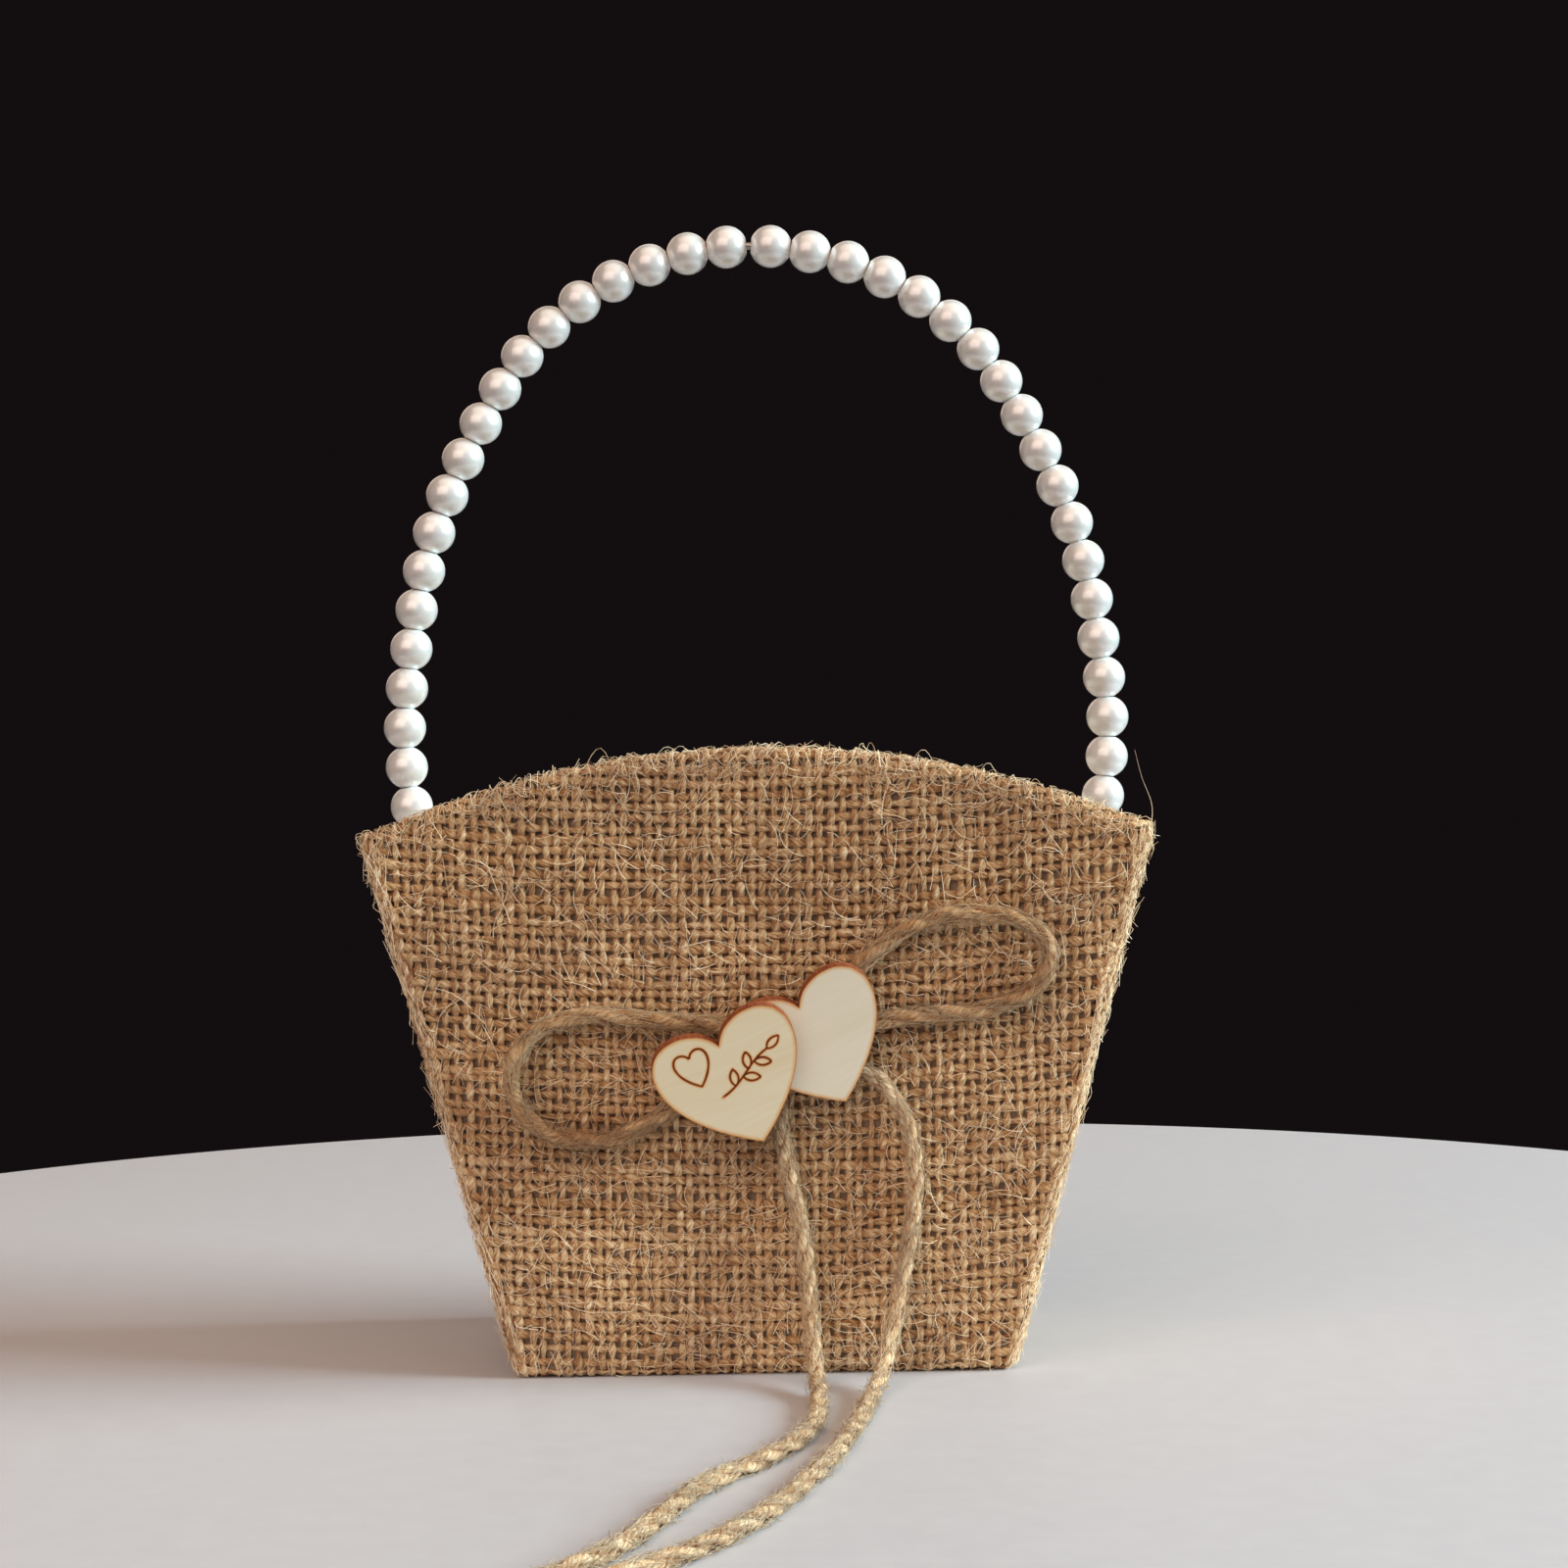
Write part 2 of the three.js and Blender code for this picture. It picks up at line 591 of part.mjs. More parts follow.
// Hearts: flat plates over the knot, their tips low and to the right, their tops proud.
// The right half of the outline, from the tip to the notch: the ends and handles of its curves.
const heartHalf = [
  [0, 0], [5.5, 3.6], [13.1, 10.3],
  [13.4, 17.4], [13.5, 21.3], [11, 24.1],
  [7.3, 24.1], [4, 24.1], [1.3, 22.6],
  [0, 19.9],
];

function heartShape() {
  const mirrored = heartHalf.slice(0, -1).reverse().map(([x, y]) => [-x, y]);
  const outline = [...heartHalf, ...mirrored];
  const shape = new THREE.Shape();
  shape.moveTo(...outline[0]);
  for (let i = 1; i < outline.length; i += 3) {
    shape.bezierCurveTo(...outline[i], ...outline[i + 1], ...outline[i + 2]);
  }
  return shape;
}

const frontFace = new THREE.Group();
frontFace.position.set(0, -BASE_HALF_DEPTH, 0);
frontFace.rotation.x = Math.PI / 2 + Math.atan(FLARE_Y);
basket.add(frontFace);

function addHeart(name, tip, turn) {
  const geometry = new THREE.ExtrudeGeometry(heartShape(), {
    depth: HEART_THICKNESS,
    bevelEnabled: false,
    curveSegments: HEART_SEGMENTS,
  });
  geometry.rotateZ(turn);
  const mesh = addNode(name, geometry, 'wood', frontFace);
  const normal = new THREE.Vector3(HEART_TILT_SIDE, -HEART_TILT_DOWN, 1).normalize();
  mesh.quaternion.setFromUnitVectors(new THREE.Vector3(0, 0, 1), normal);
  mesh.position.set(...tip);
}

addHeart('heart_rear', REAR_TIP, REAR_TURN);
addHeart('heart_front', FRONT_TIP, FRONT_TURN);

export default basket;
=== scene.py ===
"""Flower girl basket: camera, cords, looks and light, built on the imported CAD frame.

Numbers are millimetres in the frame's axes: +Z up, the front towards -Y, the origin at the centre
of the resting face. Meshes are made in metres. The seeds are fixed, so each run is the same.
"""

import math

import bpy
import numpy as np
from mathutils import Matrix, Quaternion, Vector, geometry


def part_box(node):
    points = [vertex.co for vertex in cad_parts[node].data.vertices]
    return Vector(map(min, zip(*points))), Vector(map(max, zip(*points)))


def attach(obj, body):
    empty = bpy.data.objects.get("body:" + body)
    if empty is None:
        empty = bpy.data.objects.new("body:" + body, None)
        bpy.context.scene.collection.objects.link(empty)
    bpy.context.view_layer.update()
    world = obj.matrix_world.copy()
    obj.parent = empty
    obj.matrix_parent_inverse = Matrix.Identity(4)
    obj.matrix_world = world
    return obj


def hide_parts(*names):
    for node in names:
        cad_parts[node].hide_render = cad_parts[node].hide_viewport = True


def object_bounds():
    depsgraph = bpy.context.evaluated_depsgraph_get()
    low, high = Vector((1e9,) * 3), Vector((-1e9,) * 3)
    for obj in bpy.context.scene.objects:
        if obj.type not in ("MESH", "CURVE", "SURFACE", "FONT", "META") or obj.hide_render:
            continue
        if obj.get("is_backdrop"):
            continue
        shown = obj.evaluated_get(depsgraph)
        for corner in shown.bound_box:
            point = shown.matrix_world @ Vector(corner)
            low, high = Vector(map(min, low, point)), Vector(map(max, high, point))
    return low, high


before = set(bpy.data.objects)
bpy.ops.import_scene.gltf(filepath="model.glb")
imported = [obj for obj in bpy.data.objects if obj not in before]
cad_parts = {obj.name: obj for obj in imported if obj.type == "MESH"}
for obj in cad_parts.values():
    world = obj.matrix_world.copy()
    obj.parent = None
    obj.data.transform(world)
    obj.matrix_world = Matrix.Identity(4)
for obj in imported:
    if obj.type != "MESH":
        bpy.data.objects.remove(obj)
CAD_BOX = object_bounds()
MM = 0.001

# ---- Camera -------------------------------------------------------------------------------

CAMERA_AT = (2.6, -630, 116.7)
CAMERA_LENS = 74.25
CAMERA_SENSOR = 36
AIM_RIGHT = math.atan(0.00413)
AIM_DOWN = math.radians(0.71)
CAMERA_ROLL = math.radians(-0.93)


def add_camera():
    data = bpy.data.cameras.new("camera")
    data.lens = CAMERA_LENS
    data.sensor_width = CAMERA_SENSOR
    camera = bpy.data.objects.new("camera", data)
    aim = Vector((math.tan(AIM_RIGHT), 1, -math.tan(AIM_DOWN)))
    camera.rotation_mode = "QUATERNION"
    camera.rotation_quaternion = aim.to_track_quat("-Z", "Y") @ Quaternion((0, 0, 1), CAMERA_ROLL)
    camera.location = Vector(CAMERA_AT) * MM
    bpy.context.scene.collection.objects.link(camera)
    bpy.context.scene.camera = camera


add_camera()

# ---- The CAD nodes, in millimetres --------------------------------------------------------


def box_of(node):
    """A CAD node's lowest and highest corners."""
    return [np.array(corner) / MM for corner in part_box(node)]


def node_points(name):
    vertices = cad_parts[name].data.vertices
    return np.array([v.co for v in vertices], float).reshape(-1, 3) / MM


def node_middle(name):
    points = node_points(name)
    return (points.max(0) + points.min(0)) / 2


# ---- Lines and tubes ----------------------------------------------------------------------

FULL_TURN = 2 * math.pi


def unit(vectors):
    return vectors / np.maximum(np.linalg.norm(vectors, axis=-1, keepdims=True), 1e-9)


def lengths_along(line):
    steps = np.linalg.norm(np.diff(line, axis=0), axis=1)
    return np.concatenate([[0], np.cumsum(steps)])


def at_lengths(line, values, wanted):
    """Values given at the points of a line, read at lengths along it."""
    along = lengths_along(line)
    columns = [np.interp(wanted, along, values[:, k]) for k in range(values.shape[1])]
    return np.stack(columns, axis=-1)


def respaced(line, step):
    """The line's own course, as points about a step apart."""
    whole = lengths_along(line)[-1]
    count = max(2, round(whole / step) + 1)
    return at_lengths(line, line, np.linspace(0, whole, count))


def smooth_line(points, step):
    """A centripetal Catmull-Rom curve through the points, as points about a step apart."""
    points = np.array(points, float)
    padded = np.vstack([2 * points[0] - points[1], points, 2 * points[-1] - points[-2]])
    t = np.linspace(0, 1, 24, endpoint=False)[:, None]
    pieces = []
    for a, b, c, d in zip(padded, padded[1:], padded[2:], padded[3:]):
        before, here, after = (np.linalg.norm(q - p) ** 0.5 for p, q in ((a, b), (b, c), (c, d)))
        leave = ((b - a) / before - (c - a) / (before + here) + (c - b) / here) * here
        arrive = ((c - b) / here - (d - b) / (here + after) + (d - c) / after) * here
        square = 3 * (c - b) - 2 * leave - arrive
        cube = 2 * (b - c) + leave + arrive
        pieces.append(b + leave * t + square * t**2 + cube * t**3)
    return respaced(np.vstack([*pieces, points[-1:]]), step)


def tangents(line, closed=False):
    ahead = np.roll(line, -1, axis=0)
    behind = np.roll(line, 1, axis=0)
    if not closed:
        ahead[-1] = line[-1]
        behind[0] = line[0]
    return unit(ahead - behind)


def carried_normals(line):
    """Normals carried along a line with no twist of their own."""
    along = tangents(line)
    spare = np.array([0, 0, 1.0]) if abs(along[0][2]) < 0.9 else np.array([1.0, 0, 0])
    normals = [unit(np.cross(along[0], spare))]
    for tangent in along[1:]:
        last = normals[-1]
        normals.append(unit(last - tangent * (last @ tangent)))
    return np.array(normals)


def wander(rng, along, wave):
    """A smooth random curve of about unit size, with its bumps about a wave apart."""
    total = 0
    for stretch in (0.73, 1, 1.61):
        total = total + np.sin(FULL_TURN * along / (wave * stretch) + rng.uniform(0, FULL_TURN))
    return total / 1.7


def swelling(rng, along, *waves):
    """A yarn's uneven thickness, near 1. Each wave is how much it adds and how long it is."""
    total = 1
    for size, wave in waves:
        total = total + size * wander(rng, along, wave)
    return total


def new_mesh(name, points, faces, *materials):
    mesh = bpy.data.meshes.new(name)
    mesh.from_pydata((points * MM).tolist(), [], faces)
    for material in materials:
        mesh.materials.append(material)
    return mesh


def set_shade(mesh, name, domain, values):
    """A number for each face or point, for the materials to read."""
    mesh.attributes.new(name, "FLOAT", domain).data.foreach_set("value", values)


def add_piece(name, mesh):
    piece = bpy.data.objects.new(name, mesh)
    bpy.context.scene.collection.objects.link(piece)
    return piece


def put_in_place(piece, node, body):
    """The piece rides on a body, and the CAD node that it stands for is hidden."""
    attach(piece, body)
    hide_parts(node)


def ring_quads(rings, sides, closed=False):
    """The ring and side that each quad between rings starts from, and its corners' numbers."""
    i, j = np.meshgrid(np.arange(rings if closed else rings - 1), np.arange(sides), indexing="ij")
    next_i, next_j = (i + 1) % rings, (j + 1) % sides
    corners = [(i, j), (next_i, j), (next_i, next_j), (i, next_j)]
    return i, j, np.stack([a * sides + b for a, b in corners], axis=-1).reshape(-1, 4)


FLOOR_CLEARANCE = 0.02
FIBRE_CLEARANCE = 0.14
FIBRE_SHARE = np.linspace(0, 1, 6)


class Tubes:
    """Gathers tubes into one mesh.

    The UV map "yarn" holds the length along and the share round, "tone" a shade for each tube, and
    the recess attribute is 1 where the surface lies deep between its neighbours, where the materials
    paint shade. A fibre, with three sides, is shaded flat.
    """

    def __init__(self):
        self.count = 0
        self.points, self.recess_shade = [], []
        self.quads, self.quad_uv, self.quad_tones, self.quad_smooth = [], [], [], []
        self.caps, self.cap_uv, self.cap_tones = [], [], []

    def add(self, line, normals, half_width, half_height, sides, tone, recess_shade=0.0, closed=False):
        n = len(line)
        along = tangents(line, closed)
        across = unit(np.cross(along, normals))
        up = np.cross(across, along)
        turn = FULL_TURN * np.arange(sides) / sides
        wide = (half_width * np.ones(n))[:, None] * np.cos(turn)
        high = (half_height * np.ones(n))[:, None] * np.sin(turn)
        ring = line[:, None] + across[:, None] * wide[..., None] + up[:, None] * high[..., None]
        ring[..., 2] = np.maximum(ring[..., 2], FLOOR_CLEARANCE)
        self.points.append(ring.reshape(-1, 3))
        self.recess_shade.append((recess_shade + np.zeros((n, sides))).ravel())
        i, j, quads = ring_quads(n, sides, closed)
        self.quads.append(quads + self.count)
        u = np.append(lengths_along(line), 0)
        if closed:
            u[n] = u[n - 1] + np.linalg.norm(line[0] - line[-1])
        spots = [(i, j), (i + 1, j), (i + 1, j + 1), (i, j + 1)]
        uv = np.stack([np.stack([u[a], b / sides], axis=-1) for a, b in spots], axis=-2)
        self.quad_uv.append(uv.reshape(-1, 2))
        self.quad_tones.append(np.full(len(quads), tone))
        self.quad_smooth.append(np.full(len(quads), sides > 3))
        if not closed:
            first = list(range(self.count, self.count + sides))
            last = [self.count + (n - 1) * sides + k for k in reversed(range(sides))]
            self.caps += [first, last]
            self.cap_uv.append(np.repeat([[0, 0], [u[n - 1], 0]], sides, axis=0))
            self.cap_tones += [tone, tone]
        self.count += n * sides

    def piece(self, name, material):
        faces = np.vstack(self.quads).tolist() + self.caps
        mesh = new_mesh(name, np.vstack(self.points), faces, material)
        uv = np.vstack(self.quad_uv + self.cap_uv)
        mesh.uv_layers.new(name="yarn").data.foreach_set("uv", uv.ravel())
        set_shade(mesh, "tone", "FACE", np.concatenate([*self.quad_tones, self.cap_tones]))
        set_shade(mesh, "recess_shade", "POINT", np.concatenate(self.recess_shade))
        smooth = np.concatenate([*self.quad_smooth, np.full(len(self.caps), False)])
        mesh.polygons.foreach_set("use_smooth", smooth)
        return add_piece(name, mesh)


# ---- Material helpers ---------------------------------------------------------------------


def srgb(red, green, blue):
    """A colour given as 0 to 255, as Blender's linear numbers."""
    values = [c / 255 for c in (red, green, blue)]
    return [c / 12.92 if c <= 0.04045 else ((c + 0.055) / 1.055) ** 2.4 for c in values] + [1]


class Look:
    """A material with a Principled shader, and short calls for the nodes that feed it."""

    def __init__(self, name, **constants):
        self.material = bpy.data.materials.new(name)
        self.material.use_nodes = True
        self.tree = self.material.node_tree
        self.shader = self.tree.nodes["Principled BSDF"]
        for socket, value in constants.items():
            self.shader.inputs[socket.replace("_", " ")].default_value = value

    def node(self, kind, inputs=(), **settings):
        made = self.tree.nodes.new(kind)
        for key, value in settings.items():
            setattr(made, key, value)
        for socket, value in dict(inputs).items():
            if isinstance(value, bpy.types.NodeSocket):
                self.tree.links.new(value, made.inputs[socket])
            else:
                made.inputs[socket].default_value = value
        return made

    def uv(self):
        return self.node("ShaderNodeUVMap", uv_map="yarn").outputs["UV"]

    def place(self):
        return self.node("ShaderNodeTexCoord").outputs["Object"]

    def attribute(self, name):
        return self.node("ShaderNodeAttribute", attribute_name=name).outputs["Fac"]

    def scaled(self, vector, scale):
        made = self.node("ShaderNodeMapping", {"Vector": vector, "Scale": scale})
        return made.outputs["Vector"]

    def noise(self, vector, scale, detail=3, roughness=0.55):
        inputs = {"Vector": vector, "Scale": scale, "Detail": detail, "Roughness": roughness}
        return self.node("ShaderNodeTexNoise", inputs).outputs["Fac"]

    def ramp(self, factor, *stops):
        made = self.node("ShaderNodeValToRGB", {"Fac": factor})
        elements = made.color_ramp.elements
        while len(elements) < len(stops):
            elements.new(1)
        for element, (position, colour) in zip(elements, stops):
            element.position = position
            element.color = colour
        return made.outputs["Color"]

    def shades(self, factor, *stops):
        """A ramp whose stops are a position and a colour as 0 to 255."""
        return self.ramp(factor, *[(position, srgb(*colour)) for position, *colour in stops])

    def grey(self, factor, *stops):
        return self.ramp(factor, *[(position, (v, v, v, 1)) for position, v in stops])

    def mix(self, factor, a, b, blend="MIX"):
        inputs = {0: factor, 6: a, 7: b}
        return self.node("ShaderNodeMix", inputs, data_type="RGBA", blend_type=blend).outputs[2]

    def times(self, a, b):
        return self.mix(1.0, a, b, "MULTIPLY")

    def maths(self, operation, a, b=0.0, c=0.0):
        return self.node("ShaderNodeMath", {0: a, 1: b, 2: c}, operation=operation).outputs[0]

    def colour(self, value):
        self.tree.links.new(value, self.shader.inputs["Base Color"])

    def roughness(self, value):
        self.tree.links.new(value, self.shader.inputs["Roughness"])

    def bump(self, height, distance, strength=1.0):
        inputs = {"Height": height, "Distance": distance * MM, "Strength": strength}
        made = self.node("ShaderNodeBump", inputs)
        self.tree.links.new(made.outputs["Normal"], self.shader.inputs["Normal"])


def jute(name, shadow, middle, light, turns_per_mm, relief):
    """Spun jute: fine strands winding round the yarn, a tone for each yarn, and painted recess
    shade.
    """
    look = Look(name, Roughness=0.86, Sheen_Weight=0.06, Sheen_Roughness=0.5)
    apart = look.node("ShaderNodeSeparateXYZ", {"Vector": look.uv()})
    wound = look.maths("MULTIPLY_ADD", apart.outputs["X"], turns_per_mm, apart.outputs["Y"])
    strands = look.node("ShaderNodeCombineXYZ", {
        "X": look.maths("MULTIPLY", apart.outputs["X"], 0.35),
        "Y": look.maths("MULTIPLY", wound, 6),
        "Z": look.maths("MULTIPLY", look.attribute("tone"), 37),
    }).outputs["Vector"]
    streaks = look.noise(strands, 1.6, detail=4, roughness=0.65)
    base = look.ramp(streaks, (0.35, shadow), (0.5, middle), (0.65, light))
    tone = look.ramp(
        look.maths("MULTIPLY", look.attribute("tone"), 0.5),
        (0, (0.74, 0.66, 0.55, 1)), (0.5, (1.09, 1.18, 1.27, 1)), (1, (1.22, 1.45, 1.8, 1)),
    )
    toned = look.times(base, tone)
    patches = look.noise(look.place(), 55, detail=2)
    tint = look.ramp(patches, (0.35, (0.86, 0.8, 0.76, 1)), (0.65, (1.08, 1.06, 1.02, 1)))
    tinted = look.times(toned, tint)
    # Painted shade: a darker, browner colour where the recess attribute nears 1, deep between the
    # yarns and between the plies.
    deep = look.ramp(look.attribute("recess_shade"), (0, (1, 1, 1, 1)), (1, (0.62, 0.46, 0.37, 1)))
    look.colour(look.times(tinted, deep))
    look.bump(streaks, relief)
    return look.material


# ---- Cords: the twine bow -----------------------------------------------------------------

TWINE_DIAMETER = 3.0
TWINE_STEP = 0.6
PLY_SIDES = 12
LAID_TWIST = 0.6
LAID_BELOW, FREE_ABOVE = 3, 14
FUZZ_START = 1.38
FUZZ_REACH = 2
# Painted shade for each side of a ply, by how deep it lies between the plies. The side that faces
# out of the twine isn't deep and gets none.
PLY_GROOVE_SHADE = np.clip(0.15 - 0.8 * np.sin(FULL_TURN * np.arange(PLY_SIDES) / PLY_SIDES), 0, 1)

# A ply's offset and radius, the length that holds a turn, fibres for each mm, and the shade.
LOOP_TWINE = {"ply": (0.6, 0.94), "ply_turn": 19, "fuzz": 12, "tone": 0.1}
TAIL_TWINE = {"ply": (0.6, 0.81), "ply_turn": 10.4, "fuzz": 10, "tone": 0.7}
KNOT_TWINE = {**TAIL_TWINE, "fuzz": 4, "tone": 0.5}

# The routes of the part's twine. A loop's points are x, distance out from the front face and
# height, and a tail's are x, y and height.
BASE_HALF_DEPTH = 33
FACE_LEAN = 0.088

LOOP_LEFT = [
    (0.2, 3, 64.4), (-4.5, 2.8, 65.4), (-9.1, 2.6, 66), (-16.4, 2.4, 66.6), (-23.7, 2.4, 67.3),
    (-31, 2.6, 67.8), (-36.6, 3, 67), (-41, 3.4, 64.9), (-44, 3.6, 61.7), (-45.5, 3.6, 57.6),
    (-45.2, 3.5, 53.6), (-43.3, 3.2, 49.8), (-39.9, 2.8, 46.9), (-35.1, 2.4, 45),
    (-29.9, 2.2, 44.6), (-25.2, 2.2, 45.6), (-21, 2.2, 47.6), (-16.7, 2.3, 50.4),
    (-11.5, 2.4, 53.6), (-6, 2.7, 56.8), (0.4, 3, 59.9),
]
LOOP_RIGHT = [
    (8.9, 3, 64.4), (12.4, 2.8, 68.8), (16, 2.6, 73.4), (19.3, 2.5, 77), (23, 2.4, 80.2),
    (27.6, 2.5, 82.9), (32.4, 2.8, 84.7), (37.3, 3.2, 85.5), (42.1, 3.6, 85.4),
    (46.7, 3.8, 84.4), (50.4, 3.8, 82.3), (52.6, 3.7, 79.3), (52.8, 3.5, 76),
    (51.1, 3.1, 72.8), (47.6, 2.7, 70.2), (43.4, 2.4, 68.4), (38.7, 2.2, 67.4),
    (33.3, 2.2, 67.1), (27.6, 2.2, 66.8), (21.8, 2.3, 65.8), (16, 2.6, 63.9), (10.2, 3, 61.2),
]
TAIL_LEFT = [
    (3.2, -41, 56.2), (3.2, -40.3, 52.5), (3.5, -39.5, 47.5), (4.1, -39.1, 42.2),
    (5.1, -38.8, 37), (6.2, -38.7, 32), (7.1, -38.7, 27), (7.7, -38.9, 21.5),
    (8.1, -39.5, 16), (8.5, -41.4, 10.6), (8.9, -46, 6), (9.2, -53, 3), (9.4, -61.5, 1.8),
    (9.2, -71, 1.6), (7.9, -86, 1.6), (4.2, -99.5, 1.6), (-0.9, -111, 1.6),
    (-6.2, -121, 1.6), (-10.7, -131, 1.6), (-14.2, -143, 1.6), (-17.6, -155, 1.6),
    (-21.6, -166.5, 1.6), (-26.6, -176.5, 1.6), (-33, -187, 1.6), (-40, -197.5, 1.6),
    (-46, -209, 1.6), (-50, -221, 1.6),
]
TAIL_RIGHT = [
    (9.4, -41, 57.3), (14, -40.5, 57.8), (18.4, -40.3, 56.9), (21.9, -40.1, 54.6),
    (24.6, -39.8, 51.2), (26.6, -39.5, 47), (27.7, -39.2, 42), (28, -38.9, 36.5),
    (27.5, -38.7, 31), (26.8, -38.6, 26), (25.8, -38.6, 21), (24.7, -38.9, 15.8),
    (23.6, -40.3, 10.8), (22.2, -44.5, 6.4), (20.6, -51.5, 3.2), (18.9, -61, 1.8),
    (17.2, -72.5, 1.6), (15.7, -83, 1.6), (13.9, -93, 1.6), (12, -103.5, 1.6),
    (9.8, -113.5, 1.6), (7.4, -123, 1.6), (4.6, -133, 1.6), (0.6, -145.5, 1.6),
    (-4.2, -157, 1.6), (-9.6, -167, 1.6), (-15.6, -175.5, 1.6), (-22.5, -184, 1.6),
    (-29, -193.5, 1.6), (-34, -204, 1.6), (-37.5, -215.5, 1.6),
]


def on_front(point):
    x, out, z = point
    return (x, -(BASE_HALF_DEPTH + FACE_LEAN * z) - out, z)


def add_plies(tubes, rng, line, tone, ply_turn, ply):
    """Two plies wound round each other along a line. ply gives their offset and their radius.

    The twist is slacker where the twine lies on the table.
    """
    offset, radius = ply
    along = lengths_along(line)
    twist = np.interp(line[:, 2], (LAID_BELOW, FREE_ABOVE), (LAID_TWIST, 1)) / ply_turn
    turns = np.cumsum(twist * np.gradient(along))
    normals = carried_normals(line)
    side = np.cross(tangents(line), normals)
    for start in (0, math.pi):
        turn = (start + FULL_TURN * turns + 0.25 * wander(rng, along, 17))[:, None]
        out = normals * np.cos(turn) + side * np.sin(turn)
        swell = swelling(rng, along, (0.07, 9), (0.04, 3.1))
        centre = line + out * (offset * swell)[:, None]
        thick = radius * swell
        shade = tone + 0.1 * math.cos(start)
        tubes.add(centre, out, thick * 1.04, thick, PLY_SIDES, shade, PLY_GROOVE_SHADE)


def add_fuzz(tubes, rng, line, per_mm, tone):
    """Short fibres that leave the plies at a slant and end close to the twine."""
    normals = carried_normals(line)
    side = np.cross(tangents(line), normals)
    whole = lengths_along(line)[-1]
    for _ in range(int(whole * per_mm)):
        start = rng.uniform(0, whole)
        length = rng.uniform(2.5, 9) * rng.choice([-1, 1])
        along = np.clip(start + length * FIBRE_SHARE * rng.uniform(0.5, 1), 0, whole)
        turn = rng.uniform(0, FULL_TURN) + FIBRE_SHARE * rng.normal(0, 0.9)
        height = rng.beta(0.8, 2.6) * FUZZ_REACH
        radius = FUZZ_START + height * FIBRE_SHARE ** rng.uniform(0.7, 2)
        middle = at_lengths(line, line, along)
        out = at_lengths(line, normals, along) * np.cos(turn)[:, None]
        out = unit(out + at_lengths(line, side, along) * np.sin(turn)[:, None])
        fibre = middle + out * radius[:, None]
        fibre[:, 2] = np.maximum(fibre[:, 2], FIBRE_CLEARANCE)
        thick = rng.uniform(0.05, 0.09) * (1 - 0.6 * FIBRE_SHARE)
        tubes.add(fibre, out, thick, thick, 3, tone + rng.uniform(0.3, 1.1))


TWINE = jute(
    "jute_twine", srgb(158, 111, 73), srgb(221, 183, 138), srgb(252, 235, 202),
    turns_per_mm=-0.22, relief=0.25,
)


TWINE_SEEDS = {"loop_left": 11, "loop_right": 12, "tail_left": 13, "tail_right": 14, "knot": 15}


def add_twine(part, line, ply, ply_turn, fuzz, tone):
    """The twine of one part of the bow, such as loop_left, along its line."""
    rng = np.random.default_rng(TWINE_SEEDS[part])
    tubes = Tubes()
    add_plies(tubes, rng, line, tone, ply_turn, ply)
    add_fuzz(tubes, rng, line, fuzz, tone)
    piece = tubes.piece(f"twine_{part}", TWINE)
    put_in_place(piece, f"bow_{part}", "basket")
    return piece


def add_cord(part, points, twine):
    line = smooth_line(points, TWINE_STEP)
    piece = add_twine(part, line, **twine)
    lengths_along(line)[-1] * MM


add_cord("loop_left", [on_front(point) for point in LOOP_LEFT], LOOP_TWINE)
add_cord("loop_right", [on_front(point) for point in LOOP_RIGHT], LOOP_TWINE)
add_cord("tail_left", TAIL_LEFT, TAIL_TWINE)
add_cord("tail_right", TAIL_RIGHT, TAIL_TWINE)


def add_knot():
    """The knot's two wraps of twine, from top to bottom over the place where the strands cross."""
    low, high = box_of("bow_knot")
    centre = (low + high) / 2
    reach = (high - low) / 2 - TWINE_DIAMETER / 2
    turn = np.linspace(0, 2 * FULL_TURN, 90)
    line = centre + np.stack([
        reach[0] * (turn / FULL_TURN - 1),
        -reach[1] * np.sin(turn),
        reach[2] * np.cos(turn),
    ], axis=-1)
    add_twine("knot", smooth_line(line, TWINE_STEP), **KNOT_TWINE)


add_knot()

# ---- The walls, as the CAD cover has them -------------------------------------------------

ON_FRONT_OR_BACK, ON_SIDE, ON_CORNER = 0, 1, 2
COVER = node_points("burlap_cover")
COVER_FOOT = COVER[:, 2].min()
ABOVE_EYELETS = 92
ON_WALL = 0.05
SAME_PLACE = 0.11


def half_size(axis):
    """The cover's half size at height 0 along X or Y, and what it gains per mm of height."""
    size = np.abs(COVER[:, axis])
    foot = size[COVER[:, 2] < COVER_FOOT + 0.01].max()
    widest = size.argmax()
    gain = (size[widest] - foot) / (COVER[widest, 2] - COVER_FOOT)
    return foot - gain * COVER_FOOT, gain


HALF_X, GAIN_X = half_size(0)
HALF_Y, GAIN_Y = half_size(1)


def half_x(z):
    return HALF_X + GAIN_X * z


def half_y(z):
    return HALF_Y + GAIN_Y * z


def half_of(kind, z):
    return np.where(kind == ON_SIDE, half_y(z), half_x(z))


def by_kind(kind, front_or_back, side, corner):
    return np.where(kind == ON_CORNER, corner, np.where(kind == ON_SIDE, side, front_or_back))


def rim_of(axis):
    """The rim of the front and back walls along X, or of the side walls along Y, as two lists."""
    other = 1 - axis
    outside = (half_x, half_y)[other](COVER[:, 2])
    rim = COVER[(np.abs(COVER[:, other]) > outside - ON_WALL) & (COVER[:, 2] > ABOVE_EYELETS)]
    along = np.abs(rim[:, axis])
    places = np.unique(np.round(along, 1))
    heights = [rim[np.abs(along - place) < SAME_PLACE][:, 2].max() for place in places]
    return places, np.array(heights)


FRONT_RIM = rim_of(0)
SIDE_RIM = rim_of(1)
CORNER_RIM_Z = FRONT_RIM[1][-1]

# ---- Burlap: the cloth's surface ----------------------------------------------------------

